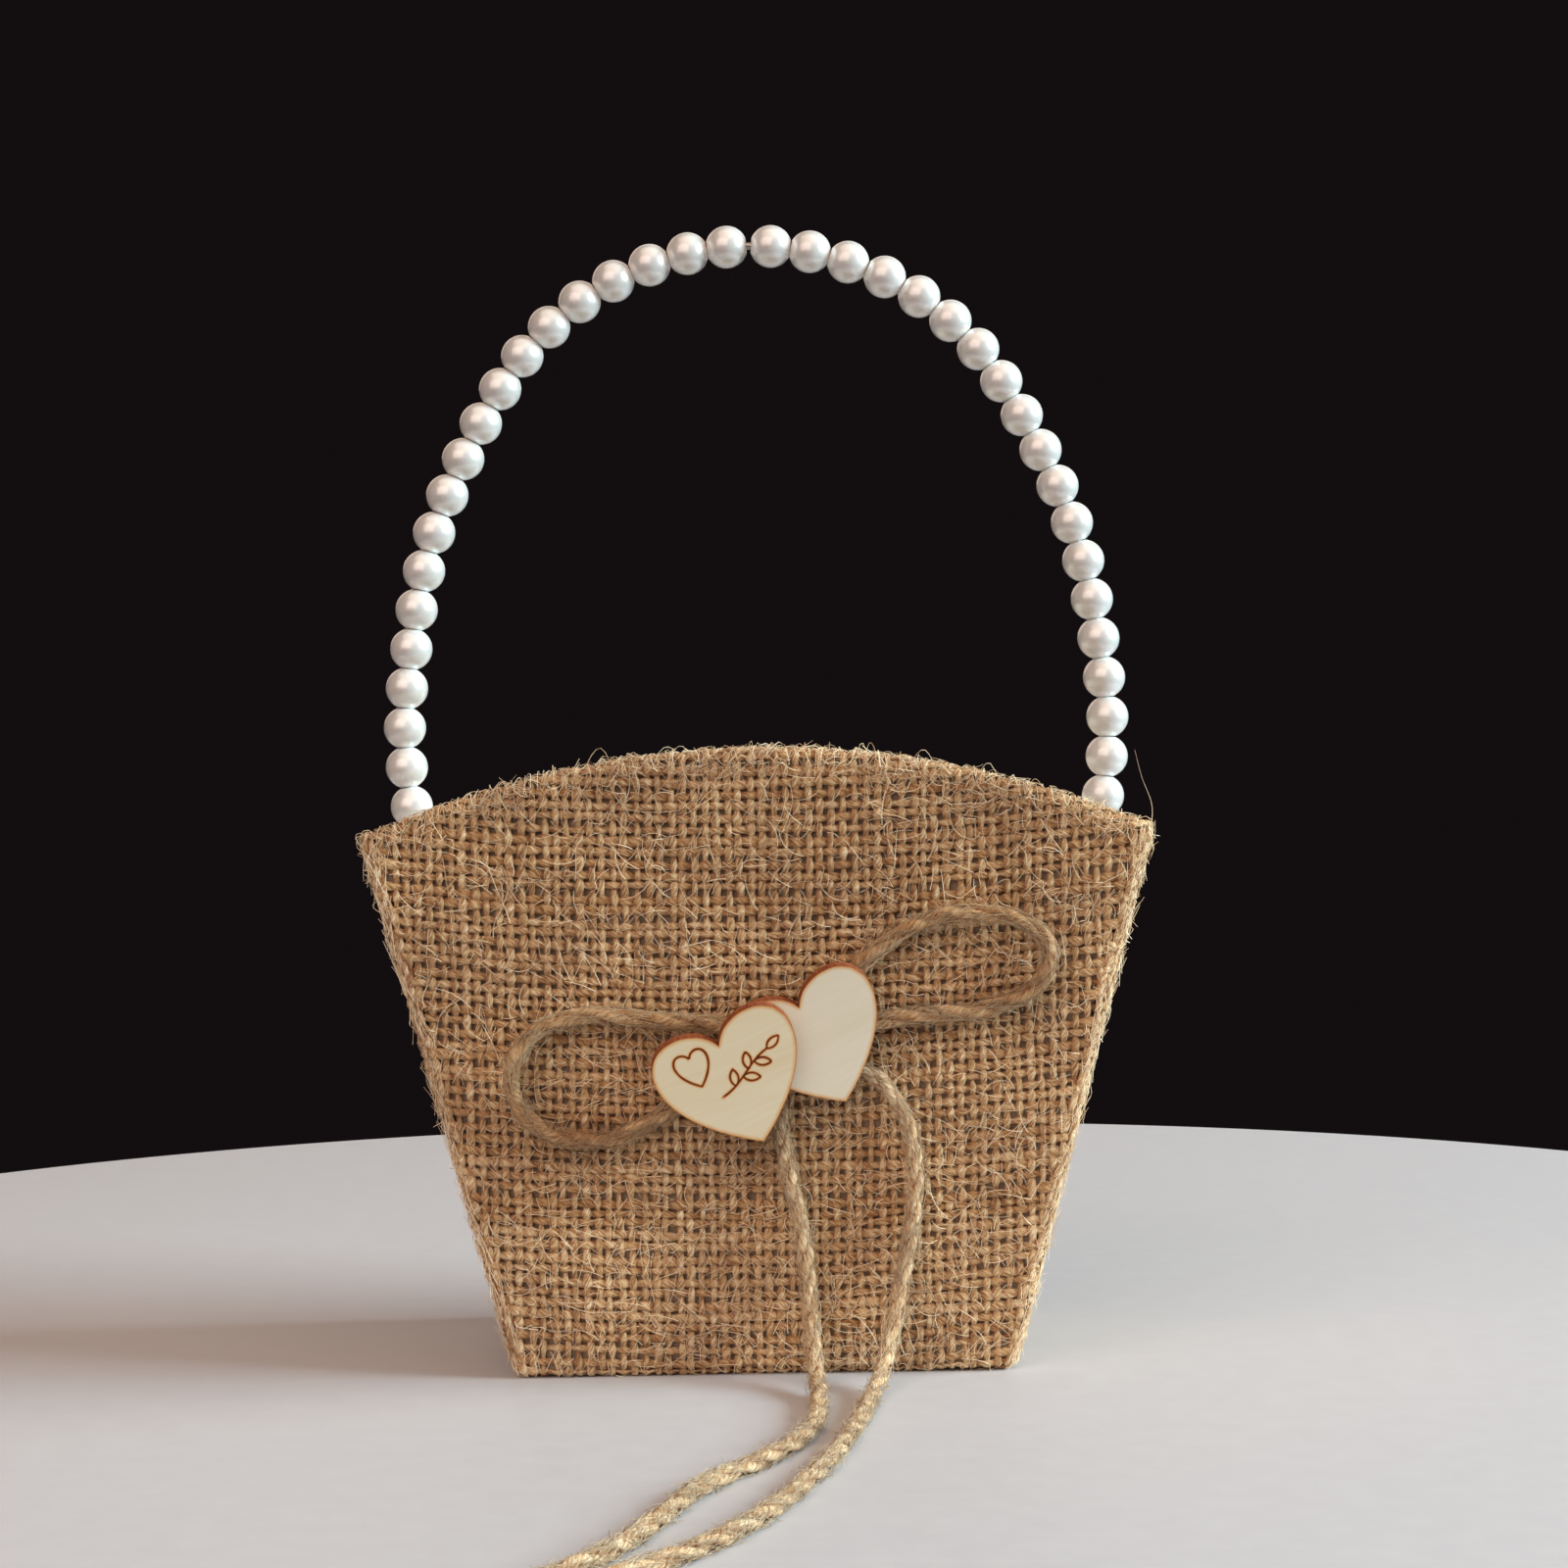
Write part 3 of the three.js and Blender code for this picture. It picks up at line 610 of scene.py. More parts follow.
CORNER_RADIUS = 2.5
CLOTH_MIDDLE = 0.6
FOLD_RADIUS = 1.33
FLAP_LENGTH = 8
FOOT_RADIUS = 1.2
FOOT_MIDDLE = 0.8
FOOT_UNDER = 3
FOOT_Z = FOOT_MIDDLE + FOOT_RADIUS
LOWEST_UP = FOOT_Z - FOOT_RADIUS * math.pi / 2 - FOOT_UNDER


def turn_height(kind, value):
    """Where the cloth starts to turn over the rim."""
    front = np.interp(np.abs(value), *FRONT_RIM)
    side = np.interp(np.abs(value), *SIDE_RIM)
    return by_kind(kind, front, side, CORNER_RIM_Z) - CLOTH_MIDDLE - FOLD_RADIUS


def section_point(kind, value, sx, sy, inset, z):
    """A point of the flared section at a height, taken in by an inset.

    value is x on the front and back, y on the sides, and on a corner the angle from the X axis.
    sx and sy say which side and which corner.
    """
    hx, hy = half_x(z), half_y(z)
    centre = np.maximum(CORNER_RADIUS, inset)
    radius = np.maximum(CORNER_RADIUS - inset, 0)
    corner_x = sx * (hx - centre + radius * np.cos(value))
    corner_y = sy * (hy - centre + radius * np.sin(value))
    wall_x = np.clip(value, centre - hx, hx - centre)
    wall_y = np.clip(value, centre - hy, hy - centre)
    x = by_kind(kind, wall_x, sx * (hx - inset), corner_x)
    y = by_kind(kind, sy * (hy - inset), wall_y, corner_y)
    return np.stack([x, y, z + 0 * x], axis=-1)


def cloth_point(kind, value, sx, sy, up, lift):
    """A point of the cover: up is the way up the cloth, on over the rim and down inside, and lift
    is the distance out from the cloth's middle."""
    turn_z = turn_height(kind, value)
    past = up - turn_z
    over = np.clip(past / FOLD_RADIUS, 0, math.pi)
    below = FOOT_Z - up
    under = np.clip(below / FOOT_RADIUS, 0, math.pi / 2)
    high_r = FOLD_RADIUS + lift
    low_r = FOOT_RADIUS + lift
    down_inside = np.maximum(past - math.pi * FOLD_RADIUS, 0)
    in_under = np.maximum(below - FOOT_RADIUS * math.pi / 2, 0)
    high_z = np.minimum(up, turn_z) + high_r * np.sin(over) - down_inside
    high_inset = CLOTH_MIDDLE + FOLD_RADIUS - high_r * np.cos(over)
    low_z = FOOT_Z - low_r * np.sin(under)
    low_inset = CLOTH_MIDDLE + FOOT_RADIUS - low_r * np.cos(under) + in_under
    z = np.where(below > 0, low_z, high_z)
    inset = np.where(below > 0, low_inset, high_inset)
    return section_point(kind, value, sx, sy, inset, z)


def on_cloth(kind, value, up):
    """True where the cloth is: not beyond its hem under the base, nor beyond the flap's."""
    longest = math.pi * FOLD_RADIUS + FLAP_LENGTH
    return (up >= LOWEST_UP) & (up - turn_height(kind, value) <= longest)


# ---- Burlap: the weave --------------------------------------------------------------------

WARP_PITCH = 2.1
WEFT_PITCH = 2.15
WARP_HALF = (0.64, 0.43)
WEFT_HALF = (0.79, 0.38)
WARP_CRIMP = 0.38
CORNER_WARP_CRIMP = 0.34
CORNER_WARP_ANGLES = np.radians([12, 45, 78])
CORNER_REACH = 0.72
TUCKED_LIFT = -0.5
WEFT_CRIMP = 0.3
YARN_SIDES = 6
FEWEST_POINTS = 4
BOW = 0.00083
SIDE_DIP = 1.2
WOBBLE = 0.2
ROWS = range(-3, 61)
WALLS = [(ON_FRONT_OR_BACK, 1, -1), (ON_SIDE, 1, 1), (ON_FRONT_OR_BACK, 1, 1), (ON_SIDE, -1, 1)]
CORNERS = [(1, -1), (1, 1), (-1, 1), (-1, -1)]

WEAVE_SEED, FIBRE_SEED, BASE_SEED = 7, 21, 31
weave_rng = np.random.default_rng(WEAVE_SEED)
ROW_PHASES = {k: weave_rng.uniform(0, FULL_TURN, 3) for k in ROWS}
ROW_SHIFTS = {k: weave_rng.normal(0, 0.16) for k in ROWS}


def round_the_basket(corner_angles):
    """The walls in the order that a ring passes them: each wall's number, kind and sides, the way
    along it, and the places on the corner after it."""
    for wall, (kind, sx, sy) in enumerate(WALLS):
        way = 1 if wall in (0, 1) else -1
        angles = np.radians(corner_angles)[::1 if wall in (0, 2) else -1]
        yield wall, (kind, sx, sy), way, [(ON_CORNER, a, *CORNERS[wall]) for a in angles]


def crimp(index, k, size):
    """A warp's lift where it crosses weft k. The weft's is the opposite, in its own size."""
    return size if (index + k) % 2 == 0 else -size


def row_height(k, kind, value, sx, sy):
    """How far up the cloth weft number k lies. It bows up towards the corners."""
    z = k * WEFT_PITCH
    corner = BOW * half_x(z) ** 2
    front = BOW * value**2
    side = corner - SIDE_DIP * (1 - (value / half_y(z)) ** 2)
    bow = by_kind(kind, front, side, corner)
    x, y, _ = np.moveaxis(section_point(kind, value, sx, sy, 0.0, z), -1, 0)
    a, b, c = ROW_PHASES[k]
    ripple = np.sin(x / 11 + a) + np.sin(y / 11 + b) + 0.6 * np.sin((x + y) / 4.3 + c)
    return z + ROW_SHIFTS[k] + bow + WOBBLE * ripple


class Warp:
    """One upright yarn of a wall, and where it lies at each height."""

    def __init__(self, rng, index, place):
        self.index = index
        self.place = place + rng.normal(0, 0.1)
        self.phases = rng.uniform(0, FULL_TURN, 2)
        self.size = rng.uniform(0.84, 1.24)
        self.tone = rng.uniform(0.4, 1.15)

    def at(self, z):
        a, b = self.phases
        return self.place + WOBBLE * (np.sin(z / 13 + a) + 0.6 * np.sin(z / 4.9 + b))


def wall_warps(rng, half_top):
    count = int((half_top - CORNER_RADIUS) / WARP_PITCH)
    return [Warp(rng, i, (i + 0.5) * WARP_PITCH) for i in range(-count, count)]


TOP_CORNER_Z = CORNER_RIM_Z - CLOTH_MIDDLE
WALL_WARPS = [wall_warps(weave_rng, half_of(kind, TOP_CORNER_Z)) for kind, _, _ in WALLS]


def between(values):
    """The values with the middle of each neighbouring pair put in."""
    out = np.empty(2 * len(values) - 1)
    out[0::2] = values
    out[1::2] = (values[1:] + values[:-1]) / 2
    return out


def add_yarn(tubes, rng, stations, up, lift, half, size, tone, closed=False):
    """A yarn that is fullest where it passes over its neighbours and deep where it passes under,
    with painted shade there.
    """
    kind, value, sx, sy = stations
    line = cloth_point(kind, value, sx, sy, up, lift)
    normals = cloth_point(kind, value, sx, sy, up, lift + 0.5) - line
    along = lengths_along(line)
    over = np.clip(lift / WEFT_CRIMP, -1, 1)
    swell = size * swelling(rng, along, (0.13, 8), (0.09, 2.7))
    full = swell * (0.92 + 0.17 * np.maximum(over, 0))
    # Painted shade, full where the yarn passes under its neighbours and none where it passes over.
    recess_shade = (0.5 - 0.5 * over)[:, None]
    tubes.add(line, normals, half[0] * full, half[1] * full**0.5, YARN_SIDES, tone, recess_shade, closed)


def crossings(index, size, kind, value, sx, sy):
    """How far up the cloth a warp meets each weft, and its lift there, with the middles put in."""
    ups = [row_height(k, kind, value, sx, sy) for k in ROWS]
    return between(np.array(ups).ravel()), between(np.array([crimp(index, k, size) for k in ROWS]))


def add_warp(tubes, rng, warp, kind, sx, sy):
    """A warp from under the base, or from the corner that it runs into, over the rim to its hem."""
    up, lift = crossings(warp.index, WARP_CRIMP, kind, warp.place, sx, sy)
    turn_z = turn_height(kind, np.full(len(up), warp.place))
    z = np.clip(up, 0, turn_z)
    value = np.where(up > turn_z, warp.at(turn_z), warp.at(z))
    past_flat = (np.abs(value) - half_of(kind, z) + CORNER_RADIUS) / CORNER_RADIUS
    keep = on_cloth(kind, value, up) & (past_flat < CORNER_REACH)
    up, lift, value, past_flat = up[keep], lift[keep], value[keep], past_flat[keep]
    if len(up) < FEWEST_POINTS:
        return
    turned = past_flat > 0
    share = np.clip(past_flat, 0, 1)
    angle = np.arcsin(share) if kind == ON_SIDE else np.arccos(share)
    side = np.sign(value)
    corner_sx = np.where(turned & (kind != ON_SIDE), side, sx)
    corner_sy = np.where(turned & (kind == ON_SIDE), side, sy)
    if turned[0]:
        lift[0] = TUCKED_LIFT
    kinds = np.where(turned, ON_CORNER, kind)
    stations = (kinds, np.where(turned, angle, value), corner_sx, corner_sy)
    add_yarn(tubes, rng, stations, up, lift, WARP_HALF, warp.size, warp.tone)


def weft_stations(k):
    """The places that a weft passes all the way round, and its lift at each."""
    z = max(k * WEFT_PITCH, 0)
    found = []
    for wall, (kind, sx, sy), way, corner in round_the_basket((75, 45, 15)):
        flat = half_of(kind, z) - CORNER_RADIUS
        crossed = [(warp.at(z), warp.index) for warp in WALL_WARPS[wall]]
        crossed = sorted((v, i) for v, i in crossed if abs(v) < flat)[::way]
        values = between(np.array([v for v, _ in crossed]))
        lifts = between(np.array([-crimp(i, k, WEFT_CRIMP) for _, i in crossed]))
        found += [(kind, v, sx, sy, lift) for v, lift in zip(values, lifts)]
        found += [(*place, -crimp(n, k, WEFT_CRIMP)) for n, place in enumerate(corner)]
    return np.array(found).T


def runs(valid):
    """Runs of neighbouring places that are all valid, as lists of indices, round a ring."""
    n = len(valid)
    start = int(np.argmin(valid))
    run = []
    for i in [(start + k) % n for k in range(n + 1)]:
        if valid[i]:
            run.append(i)
        else:
            if len(run) >= FEWEST_POINTS:
                yield run
            run = []


def add_weft(tubes, rng, k):
    kind, value, sx, sy, lift = weft_stations(k)
    up = row_height(k, kind, value, sx, sy)
    valid = on_cloth(kind, value, up)
    size = rng.uniform(0.82, 1.26)
    tone = rng.uniform(0.05, 0.8)
    if valid.all():
        add_yarn(tubes, rng, (kind, value, sx, sy), up, lift, WEFT_HALF, size, tone, closed=True)
    elif valid.any():
        for run in runs(valid):
            stations = (kind[run], value[run], sx[run], sy[run])
            add_yarn(tubes, rng, stations, up[run], lift[run], WEFT_HALF, size, tone)


def add_corner_warps(tubes, rng, sx, sy):
    """The yarns that run up a corner's edge, packed close where the cloth is pulled round it."""
    for index, angle in enumerate(CORNER_WARP_ANGLES):
        up, lift = crossings(index, CORNER_WARP_CRIMP, ON_CORNER, angle, sx, sy)
        angles = np.clip(angle + 0.16 * wander(rng, up, 19), 0, math.pi / 2)
        keep = on_cloth(ON_CORNER, angles, up)
        stations = (np.full(keep.sum(), ON_CORNER), angles[keep], sx, sy)
        # The corner yarns get tones above the walls' yarns: painted light, for the light that the
        # corner edges catch.
        add_yarn(tubes, rng, stations, up[keep], lift[keep], WARP_HALF, 1, rng.uniform(1.2, 1.9))


BURLAP = jute(
    "jute_burlap", srgb(146, 98, 60), srgb(218, 175, 125), srgb(254, 234, 194),
    turns_per_mm=0.14, relief=0.3,
)
FIBRE = jute(
    "jute_fibre", srgb(238, 206, 164), srgb(252, 229, 195), srgb(255, 242, 217),
    turns_per_mm=0.1, relief=0.02,
)


def add_weave():
    warps = Tubes()
    wefts = Tubes()
    for (kind, sx, sy), yarns in zip(WALLS, WALL_WARPS):
        for warp in yarns:
            add_warp(warps, weave_rng, warp, kind, sx, sy)
    for sx, sy in CORNERS:
        add_corner_warps(warps, weave_rng, sx, sy)
    for k in ROWS:
        add_weft(wefts, weave_rng, k)
    return warps.piece("burlap_warps", BURLAP), wefts.piece("burlap_wefts", BURLAP)


# ---- Burlap: stray fibres -----------------------------------------------------------------

# Bands of fibres: how many on the front and on the back, how many on each side, the lowest and
# highest start as shares of the way up to the rim's turn, and the greatest length and rise.
FIBRE_BANDS = [
    (2700, 1100, 0, 1, 9, 1.6),
    (900, 450, 0.98, 1.03, 5, 1.5),
    (90, 50, 0.985, 1.02, 8, 3.6),
    (60, 40, 0, 0.05, 5, 1.6),
]
CORNER_FIBRES = 240


def add_fibre(tubes, rng, kind, value, sx, sy, up, lift, tones):
    line = cloth_point(kind, value, sx, sy, up, lift)
    line[:, 2] = np.maximum(line[:, 2], FIBRE_CLEARANCE)
    normals = cloth_point(kind, value, sx, sy, up, lift + 0.5) - line
    thick = rng.uniform(0.055, 0.1) * (1 - 0.5 * FIBRE_SHARE)
    tubes.add(line, normals, thick, thick, 3, rng.uniform(*tones))


def add_wall_fibres(tubes, rng, count, kind, sx, sy, low, high, longest, highest):
    for _ in range(count):
        value = rng.uniform(-1, 1)
        z = low + (high - low) * rng.uniform()
        flat = half_of(kind, z * CORNER_RIM_Z) - CORNER_RADIUS
        start_value = value * flat
        start_up = z * turn_height(kind, start_value)
        length = rng.uniform(2.5, longest)
        heading = rng.uniform(0, FULL_TURN) + FIBRE_SHARE * rng.normal(0, 0.9)
        values = start_value + np.cumsum(np.cos(heading)) * length / len(FIBRE_SHARE)
        ups = start_up + np.cumsum(np.sin(heading)) * length / len(FIBRE_SHARE)
        rise = rng.beta(1.2, 3) * highest
        loose_end = rng.uniform() < 0.5
        course = FIBRE_SHARE ** rng.uniform(0.8, 2.5) if loose_end else np.sin(math.pi * FIBRE_SHARE)
        values = np.clip(values, -flat, flat)
        add_fibre(tubes, rng, kind, values, sx, sy, ups, 0.72 + rise * course, (0.2, 1))


def add_corner_fibres(tubes, rng, sx, sy):
    for _ in range(CORNER_FIBRES):
        angle = rng.uniform(0.1, 1.45) + FIBRE_SHARE * rng.normal(0, 0.35)
        up = rng.uniform(1, CORNER_RIM_Z) + FIBRE_SHARE * rng.uniform(-7, 7)
        lift = 0.6 + rng.beta(1.1, 4) * 3 * FIBRE_SHARE ** rng.uniform(0.8, 2.2)
        # Corner fibres get paler tones than the walls' fibres: painted light, for the light that the
        # corner edges catch.
        add_fibre(tubes, rng, ON_CORNER, angle, sx, sy, up, lift, (0.4, 1.6))


def add_long_fibre(tubes):
    """The long stray fibre that stands up at the right front corner of the rim."""
    top = CORNER_RIM_Z
    points = [
        (72, -40.6, top - 1), (72, -41, top + 3), (70.2, -41.4, top + 8), (69, -41.2, top + 13),
    ]
    line = smooth_line(points, 0.8)
    thick = np.linspace(0.08, 0.03, len(line))
    tubes.add(line, carried_normals(line), thick, thick, 3, 1.8)


def add_fibres():
    rng = np.random.default_rng(FIBRE_SEED)
    tubes = Tubes()
    for kind, sx, sy in WALLS:
        for wide_count, side_count, *band in FIBRE_BANDS:
            count = side_count if kind == ON_SIDE else wide_count
            add_wall_fibres(tubes, rng, count, kind, sx, sy, *band)
    for sx, sy in CORNERS:
        add_corner_fibres(tubes, rng, sx, sy)
    add_long_fibre(tubes)
    return tubes.piece("burlap_fibres", FIBRE)


def declare_burlap(warps, wefts, fibres):
    for piece in (warps, wefts, fibres):
        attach(piece, "basket")
    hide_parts("burlap_cover")


declare_burlap(*add_weave(), add_fibres())

# ---- Burlap: the panel under the base -----------------------------------------------------

BASE_MARGIN = 2.2
BASE_MIDDLE = FOOT_MIDDLE + 0.1
BASE_CRIMP = 0.28
BASE_YARN_HALF_HEIGHT = 0.36


def add_base_weave():
    """The flat burlap under the base, with its own yarns both ways."""
    half = box_of("burlap_base")[1][:2] - BASE_MARGIN
    rng = np.random.default_rng(BASE_SEED)
    tubes = Tubes()
    counts = (half / WARP_PITCH).astype(int)
    for axis in (0, 1):
        runs_over = counts[axis]
        for i in range(-counts[1 - axis], counts[1 - axis] + 1):
            stops = between(np.arange(-runs_over, runs_over + 1) * WARP_PITCH)
            flip = -1 if axis == 0 else 1
            over = [crimp(i, n, flip) for n in range(-runs_over, runs_over + 1)]
            place = i * WARP_PITCH + 0.12 * wander(rng, stops, 17)
            z = BASE_MIDDLE + BASE_CRIMP * between(np.array(over, float))
            columns = [stops, place] if axis == 0 else [place, stops]
            line = np.stack([*columns, z], axis=-1)
            normals = np.tile([0, 0, -1.0], (len(line), 1))
            swell = rng.uniform(0.85, 1.15) * swelling(rng, stops, (0.1, 6))
            wide = (WEFT_HALF if axis == 0 else WARP_HALF)[0] * swell
            tone = rng.uniform(0.1, 0.9)
            tubes.add(line, normals, wide, BASE_YARN_HALF_HEIGHT, YARN_SIDES, tone)
    piece = tubes.piece("burlap_base_weave", BURLAP)
    put_in_place(piece, "burlap_base", "basket")


add_base_weave()

# ---- Boards -------------------------------------------------------------------------------


def card_look():
    look = Look("grey_card", Roughness=0.9)
    pulp = look.noise(look.place(), 900, detail=5, roughness=0.7)
    patches = look.noise(look.place(), 60, detail=2)
    fine = look.shades(pulp, (0.3, 150, 124, 100), (0.7, 188, 162, 136))
    broad = look.shades(patches, (0.3, 146, 118, 94), (0.7, 190, 166, 140))
    look.colour(look.mix(0.35, fine, broad))
    look.bump(pulp, 0.08)
    return look.material


def finish_boards():
    card = card_look()
    for name in ("base_board", "front_board", "back_board", "side_board_left", "side_board_right"):
        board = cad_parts[name]
        board.material_slots[0].material = card


finish_boards()

# ---- Lining -------------------------------------------------------------------------------

LINING_OUTSIDE = 4.0
LINING_THICKNESS = 0.5
LINING_BELOW_RIM = 2.0
LINING_ROWS = 22
PLACES_ON_SIDE, PLACES_ON_FRONT = 25, 43


def lining_look():
    look = Look("cotton_lining", Roughness=0.85, Sheen_Weight=0.2)
    place = look.place()
    thread_z = look.noise(look.scaled(place, (2600, 2600, 240)), 1, detail=2)
    thread_x = look.noise(look.scaled(place, (240, 240, 2600)), 1, detail=2)
    weave = look.maths("ADD", thread_z, thread_x)
    patches = look.noise(place, 40, detail=2)
    cotton = look.shades(patches, (0.3, 222, 213, 196), (0.7, 238, 231, 218))
    threads = look.shades(weave, (0.75, 196, 184, 164), (1, 246, 241, 231))
    look.colour(look.mix(0.25, cotton, threads))
    look.bump(weave, 0.12)
    return look.material


def ring_stations():
    """Places round the section for the lining's rings."""
    found = []
    for _, (kind, sx, sy), way, corner in round_the_basket((67, 45, 23)):
        count = PLACES_ON_SIDE if kind == ON_SIDE else PLACES_ON_FRONT
        found += [(kind, way * t, sx, sy) for t in np.linspace(-1, 1, count)] + corner
    return np.array(found).T


def lining_ring(stations, share, floor_z, inset):
    """A ring of the lining at a share of the way up its wall, with the cloth's slight waves."""
    kind, value, sx, sy = stations
    z = floor_z
    # The second round reads the rim where the first one's height puts the point.
    for _ in range(2):
        flat = half_of(kind, z) - CORNER_RADIUS - inset
        place = np.where(kind == ON_CORNER, value, value * flat)
        rim = turn_height(kind, place) + CLOTH_MIDDLE + FOLD_RADIUS - LINING_BELOW_RIM
        z = floor_z + (rim - floor_z) * share
    wave = 0.3 * np.sin(place / 6.1 + z / 17) * np.sin(z / 13 + 1) + 0.15 * np.sin(place / 2.3)
    wave = np.where(kind == ON_CORNER, 0, (wave + 0.4) * math.sin(math.pi * min(share, 0.95)))
    return section_point(kind, place, sx, sy, inset + wave, z)


def loft(name, rings, material):
    """A closed skin through rings of equally many points, with a face over each end."""
    n = len(rings[0])
    _, _, quads = ring_quads(len(rings), n)
    last = (len(rings) - 1) * n
    ends = [list(range(n)), list(range(last + n - 1, last - 1, -1))]
    mesh = new_mesh(name, np.vstack(rings), quads.tolist() + ends, material)
    mesh.shade_smooth()
    return add_piece(name, mesh)


def add_lining():
    floor_low = box_of("lining")[0][2]
    floor_high = floor_low + LINING_THICKNESS
    stations = ring_stations()
    shares = np.linspace(0, 1, LINING_ROWS)
    outer = [lining_ring(stations, s, floor_low, LINING_OUTSIDE) for s in shares]
    inner = [
        lining_ring(stations, s, floor_high, LINING_OUTSIDE + LINING_THICKNESS)
        for s in reversed(shares)
    ]
    scales = [0.02, 0.25, 0.5, 0.75, 0.95]
    under = [outer[0] * (s, s, 1) for s in scales]
    over = [inner[-1] * (s, s, 1) for s in reversed(scales)]
    piece = loft("cotton_lining_cup", under + outer + inner + over, lining_look())
    for polygon in piece.data.polygons:
        polygon.flip()
    put_in_place(piece, "lining", "basket")


add_lining()

# ---- Handle -------------------------------------------------------------------------------

WIRE_RADIUS = 0.7
SHARP_EDGE = math.radians(38)
FLANGE_THICKNESS = 0.5

# Half of the handle's centre line, x and z, from the apex to the end outside the wall.
HALF_HANDLE = [
    (0, 213.6), (13.5, 211.9), (26.7, 207), (36.4, 200.7), (44.8, 192.3), (51.2, 182.4),
    (56.6, 172.2), (61.2, 161.4), (64.6, 149.6), (67, 135.5), (68.4, 121), (67.3, 105.5),
    (65.7, 99.6), (63.6, 94.3), (61.9, 90.5), (61.8, 88.6), (63.1, 87.55), (66.6, 87.5),
    (70, 87.5), (73.4, 87.5),
]


def handle_line():
    left = [(-x, 0, z) for x, z in reversed(HALF_HANDLE[1:])]
    right = [(x, 0, z) for x, z in HALF_HANDLE]
    return smooth_line(left + right, 0.8)


HANDLE_LINE = handle_line()
HANDLE_TANGENTS = tangents(HANDLE_LINE)


def metal_look(name, colour, dark, roughness):
    look = Look(name, Metallic=1.0)
    wear = look.noise(look.place(), 1400, detail=3)
    look.colour(look.ramp(wear, (0.3, dark), (0.65, colour)))
    look.roughness(look.grey(wear, (0.3, roughness + 0.15), (0.7, roughness)))
    look.bump(wear, 0.02)
    return look.material


def pearl_look():
    look = Look(
        "faux_pearl", Metallic=0.22, Coat_Weight=0.6, Coat_Roughness=0.16, Coat_IOR=1.6,
        Specular_IOR_Level=0.8, Subsurface_Weight=0.1, Subsurface_Scale=0.002,
    )
    clouds = look.noise(look.place(), 260, detail=3)
    look.colour(look.shades(clouds, (0.3, 249, 250, 248), (0.7, 254, 255, 254)))
    skin = look.noise(look.place(), 1500, detail=2)
    look.roughness(look.grey(skin, (0.3, 0.28), (0.7, 0.33)))
    look.bump(clouds, 0.008)
    return look.material


def lathe(name, profile, segments, material):
    """A closed turned body around Z from a profile of radius and height that closes on itself."""
    turn = FULL_TURN * np.arange(segments) / segments
    rings = np.array([[(r * math.cos(a), r * math.sin(a), z) for a in turn] for r, z in profile])
    _, _, quads = ring_quads(len(profile), segments, closed=True)
    outwards = quads[:, [0, 3, 2, 1]]
    mesh = new_mesh(name, rings.reshape(-1, 3), outwards.tolist(), material)
    mesh.shade_smooth()
    mesh.set_sharp_from_angle(angle=SHARP_EDGE)
    return mesh


def put_on_axis(name, mesh, node, axis, body):
    """A turned body in a CAD node's place, with its axis along a direction."""
    piece = add_piece(name, mesh)
    turned = Vector((0, 0, 1)).rotation_difference(Vector(axis)).to_matrix().to_4x4()
    piece.matrix_world = Matrix.Translation(Vector(node_middle(node)) * MM) @ turned
    put_in_place(piece, node, body)


def wire_axis(node):
    """The wire's direction where a CAD node is threaded on it."""
    return HANDLE_TANGENTS[np.linalg.norm(HANDLE_LINE - node_middle(node), axis=1).argmin()]


def pearl_profile():
    bore, radius, half = 1.0, 4.1, 3.83
    mouth = math.acos(half / radius)
    arc = np.linspace(mouth, math.pi - mouth, 23)
    profile = [(radius * math.sin(a), -radius * math.cos(a)) for a in arc]
    inside = [(bore + 0.12, half - 0.06), (bore, half - 0.3)]
    return profile + inside + [(r, -z) for r, z in reversed(inside)]


def add_pearls():
    mesh = lathe("pearl_bead", pearl_profile(), 40, pearl_look())
    for node in sorted(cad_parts):
        if node.startswith(("pearl_left", "pearl_right")):
            name = node.replace("pearl_", "pearl_bead_")
            put_on_axis(name, mesh, node, wire_axis(node), "handle")


def sleeve_profile(half, edge):
    bore, radius = 1, 1.5
    return [
        (bore, -half + edge), (bore + edge, -half), (radius - edge, -half), (radius, -half + edge),
        (radius, half - edge), (radius - edge, half), (bore + edge, half), (bore, half - edge),
    ]


def add_wire():
    steel = metal_look("steel_wire", srgb(200, 198, 192), srgb(150, 146, 140), roughness=0.28)
    tubes = Tubes()
    normals = np.tile([0, 1.0, 0], (len(HANDLE_LINE), 1))
    tubes.add(HANDLE_LINE, normals, WIRE_RADIUS, WIRE_RADIUS, 14, 0.5)
    piece = tubes.piece("bent_handle_wire", steel)
    put_in_place(piece, "handle_wire", "handle")
    stop = lathe("wire_stop", sleeve_profile(half=1, edge=0.18), 28, steel)
    ferrule = lathe("wire_end_ferrule", sleeve_profile(half=1.2, edge=0.25), 28, steel)
    for side in ("left", "right"):
        node = f"pearl_stop_{side}"
        put_on_axis(f"wire_stop_{side}", stop, node, wire_axis(node), "handle")
        node = f"wire_ferrule_{side}"
        put_on_axis(f"wire_end_ferrule_{side}", ferrule, node, (1, 0, 0), "handle")


def eyelet_profile(half):
    """A barrel with two rolled flanges, as half the wall's thickness between them."""
    bore, barrel, flange, thick = 1.7, 2.2, 3.1, FLANGE_THICKNESS
    rolled = [(flange - 0.25, 0), (flange, 0.12), (flange, 0.34), (flange - 0.3, thick)]
    rolled = [(r, half + z) for r, z in rolled] + [(bore + 0.35, half + thick), (bore, half + 0.2)]
    lower = [(r, -z) for r, z in reversed(rolled)]
    return lower + [(barrel, -half), (barrel, half)] + rolled


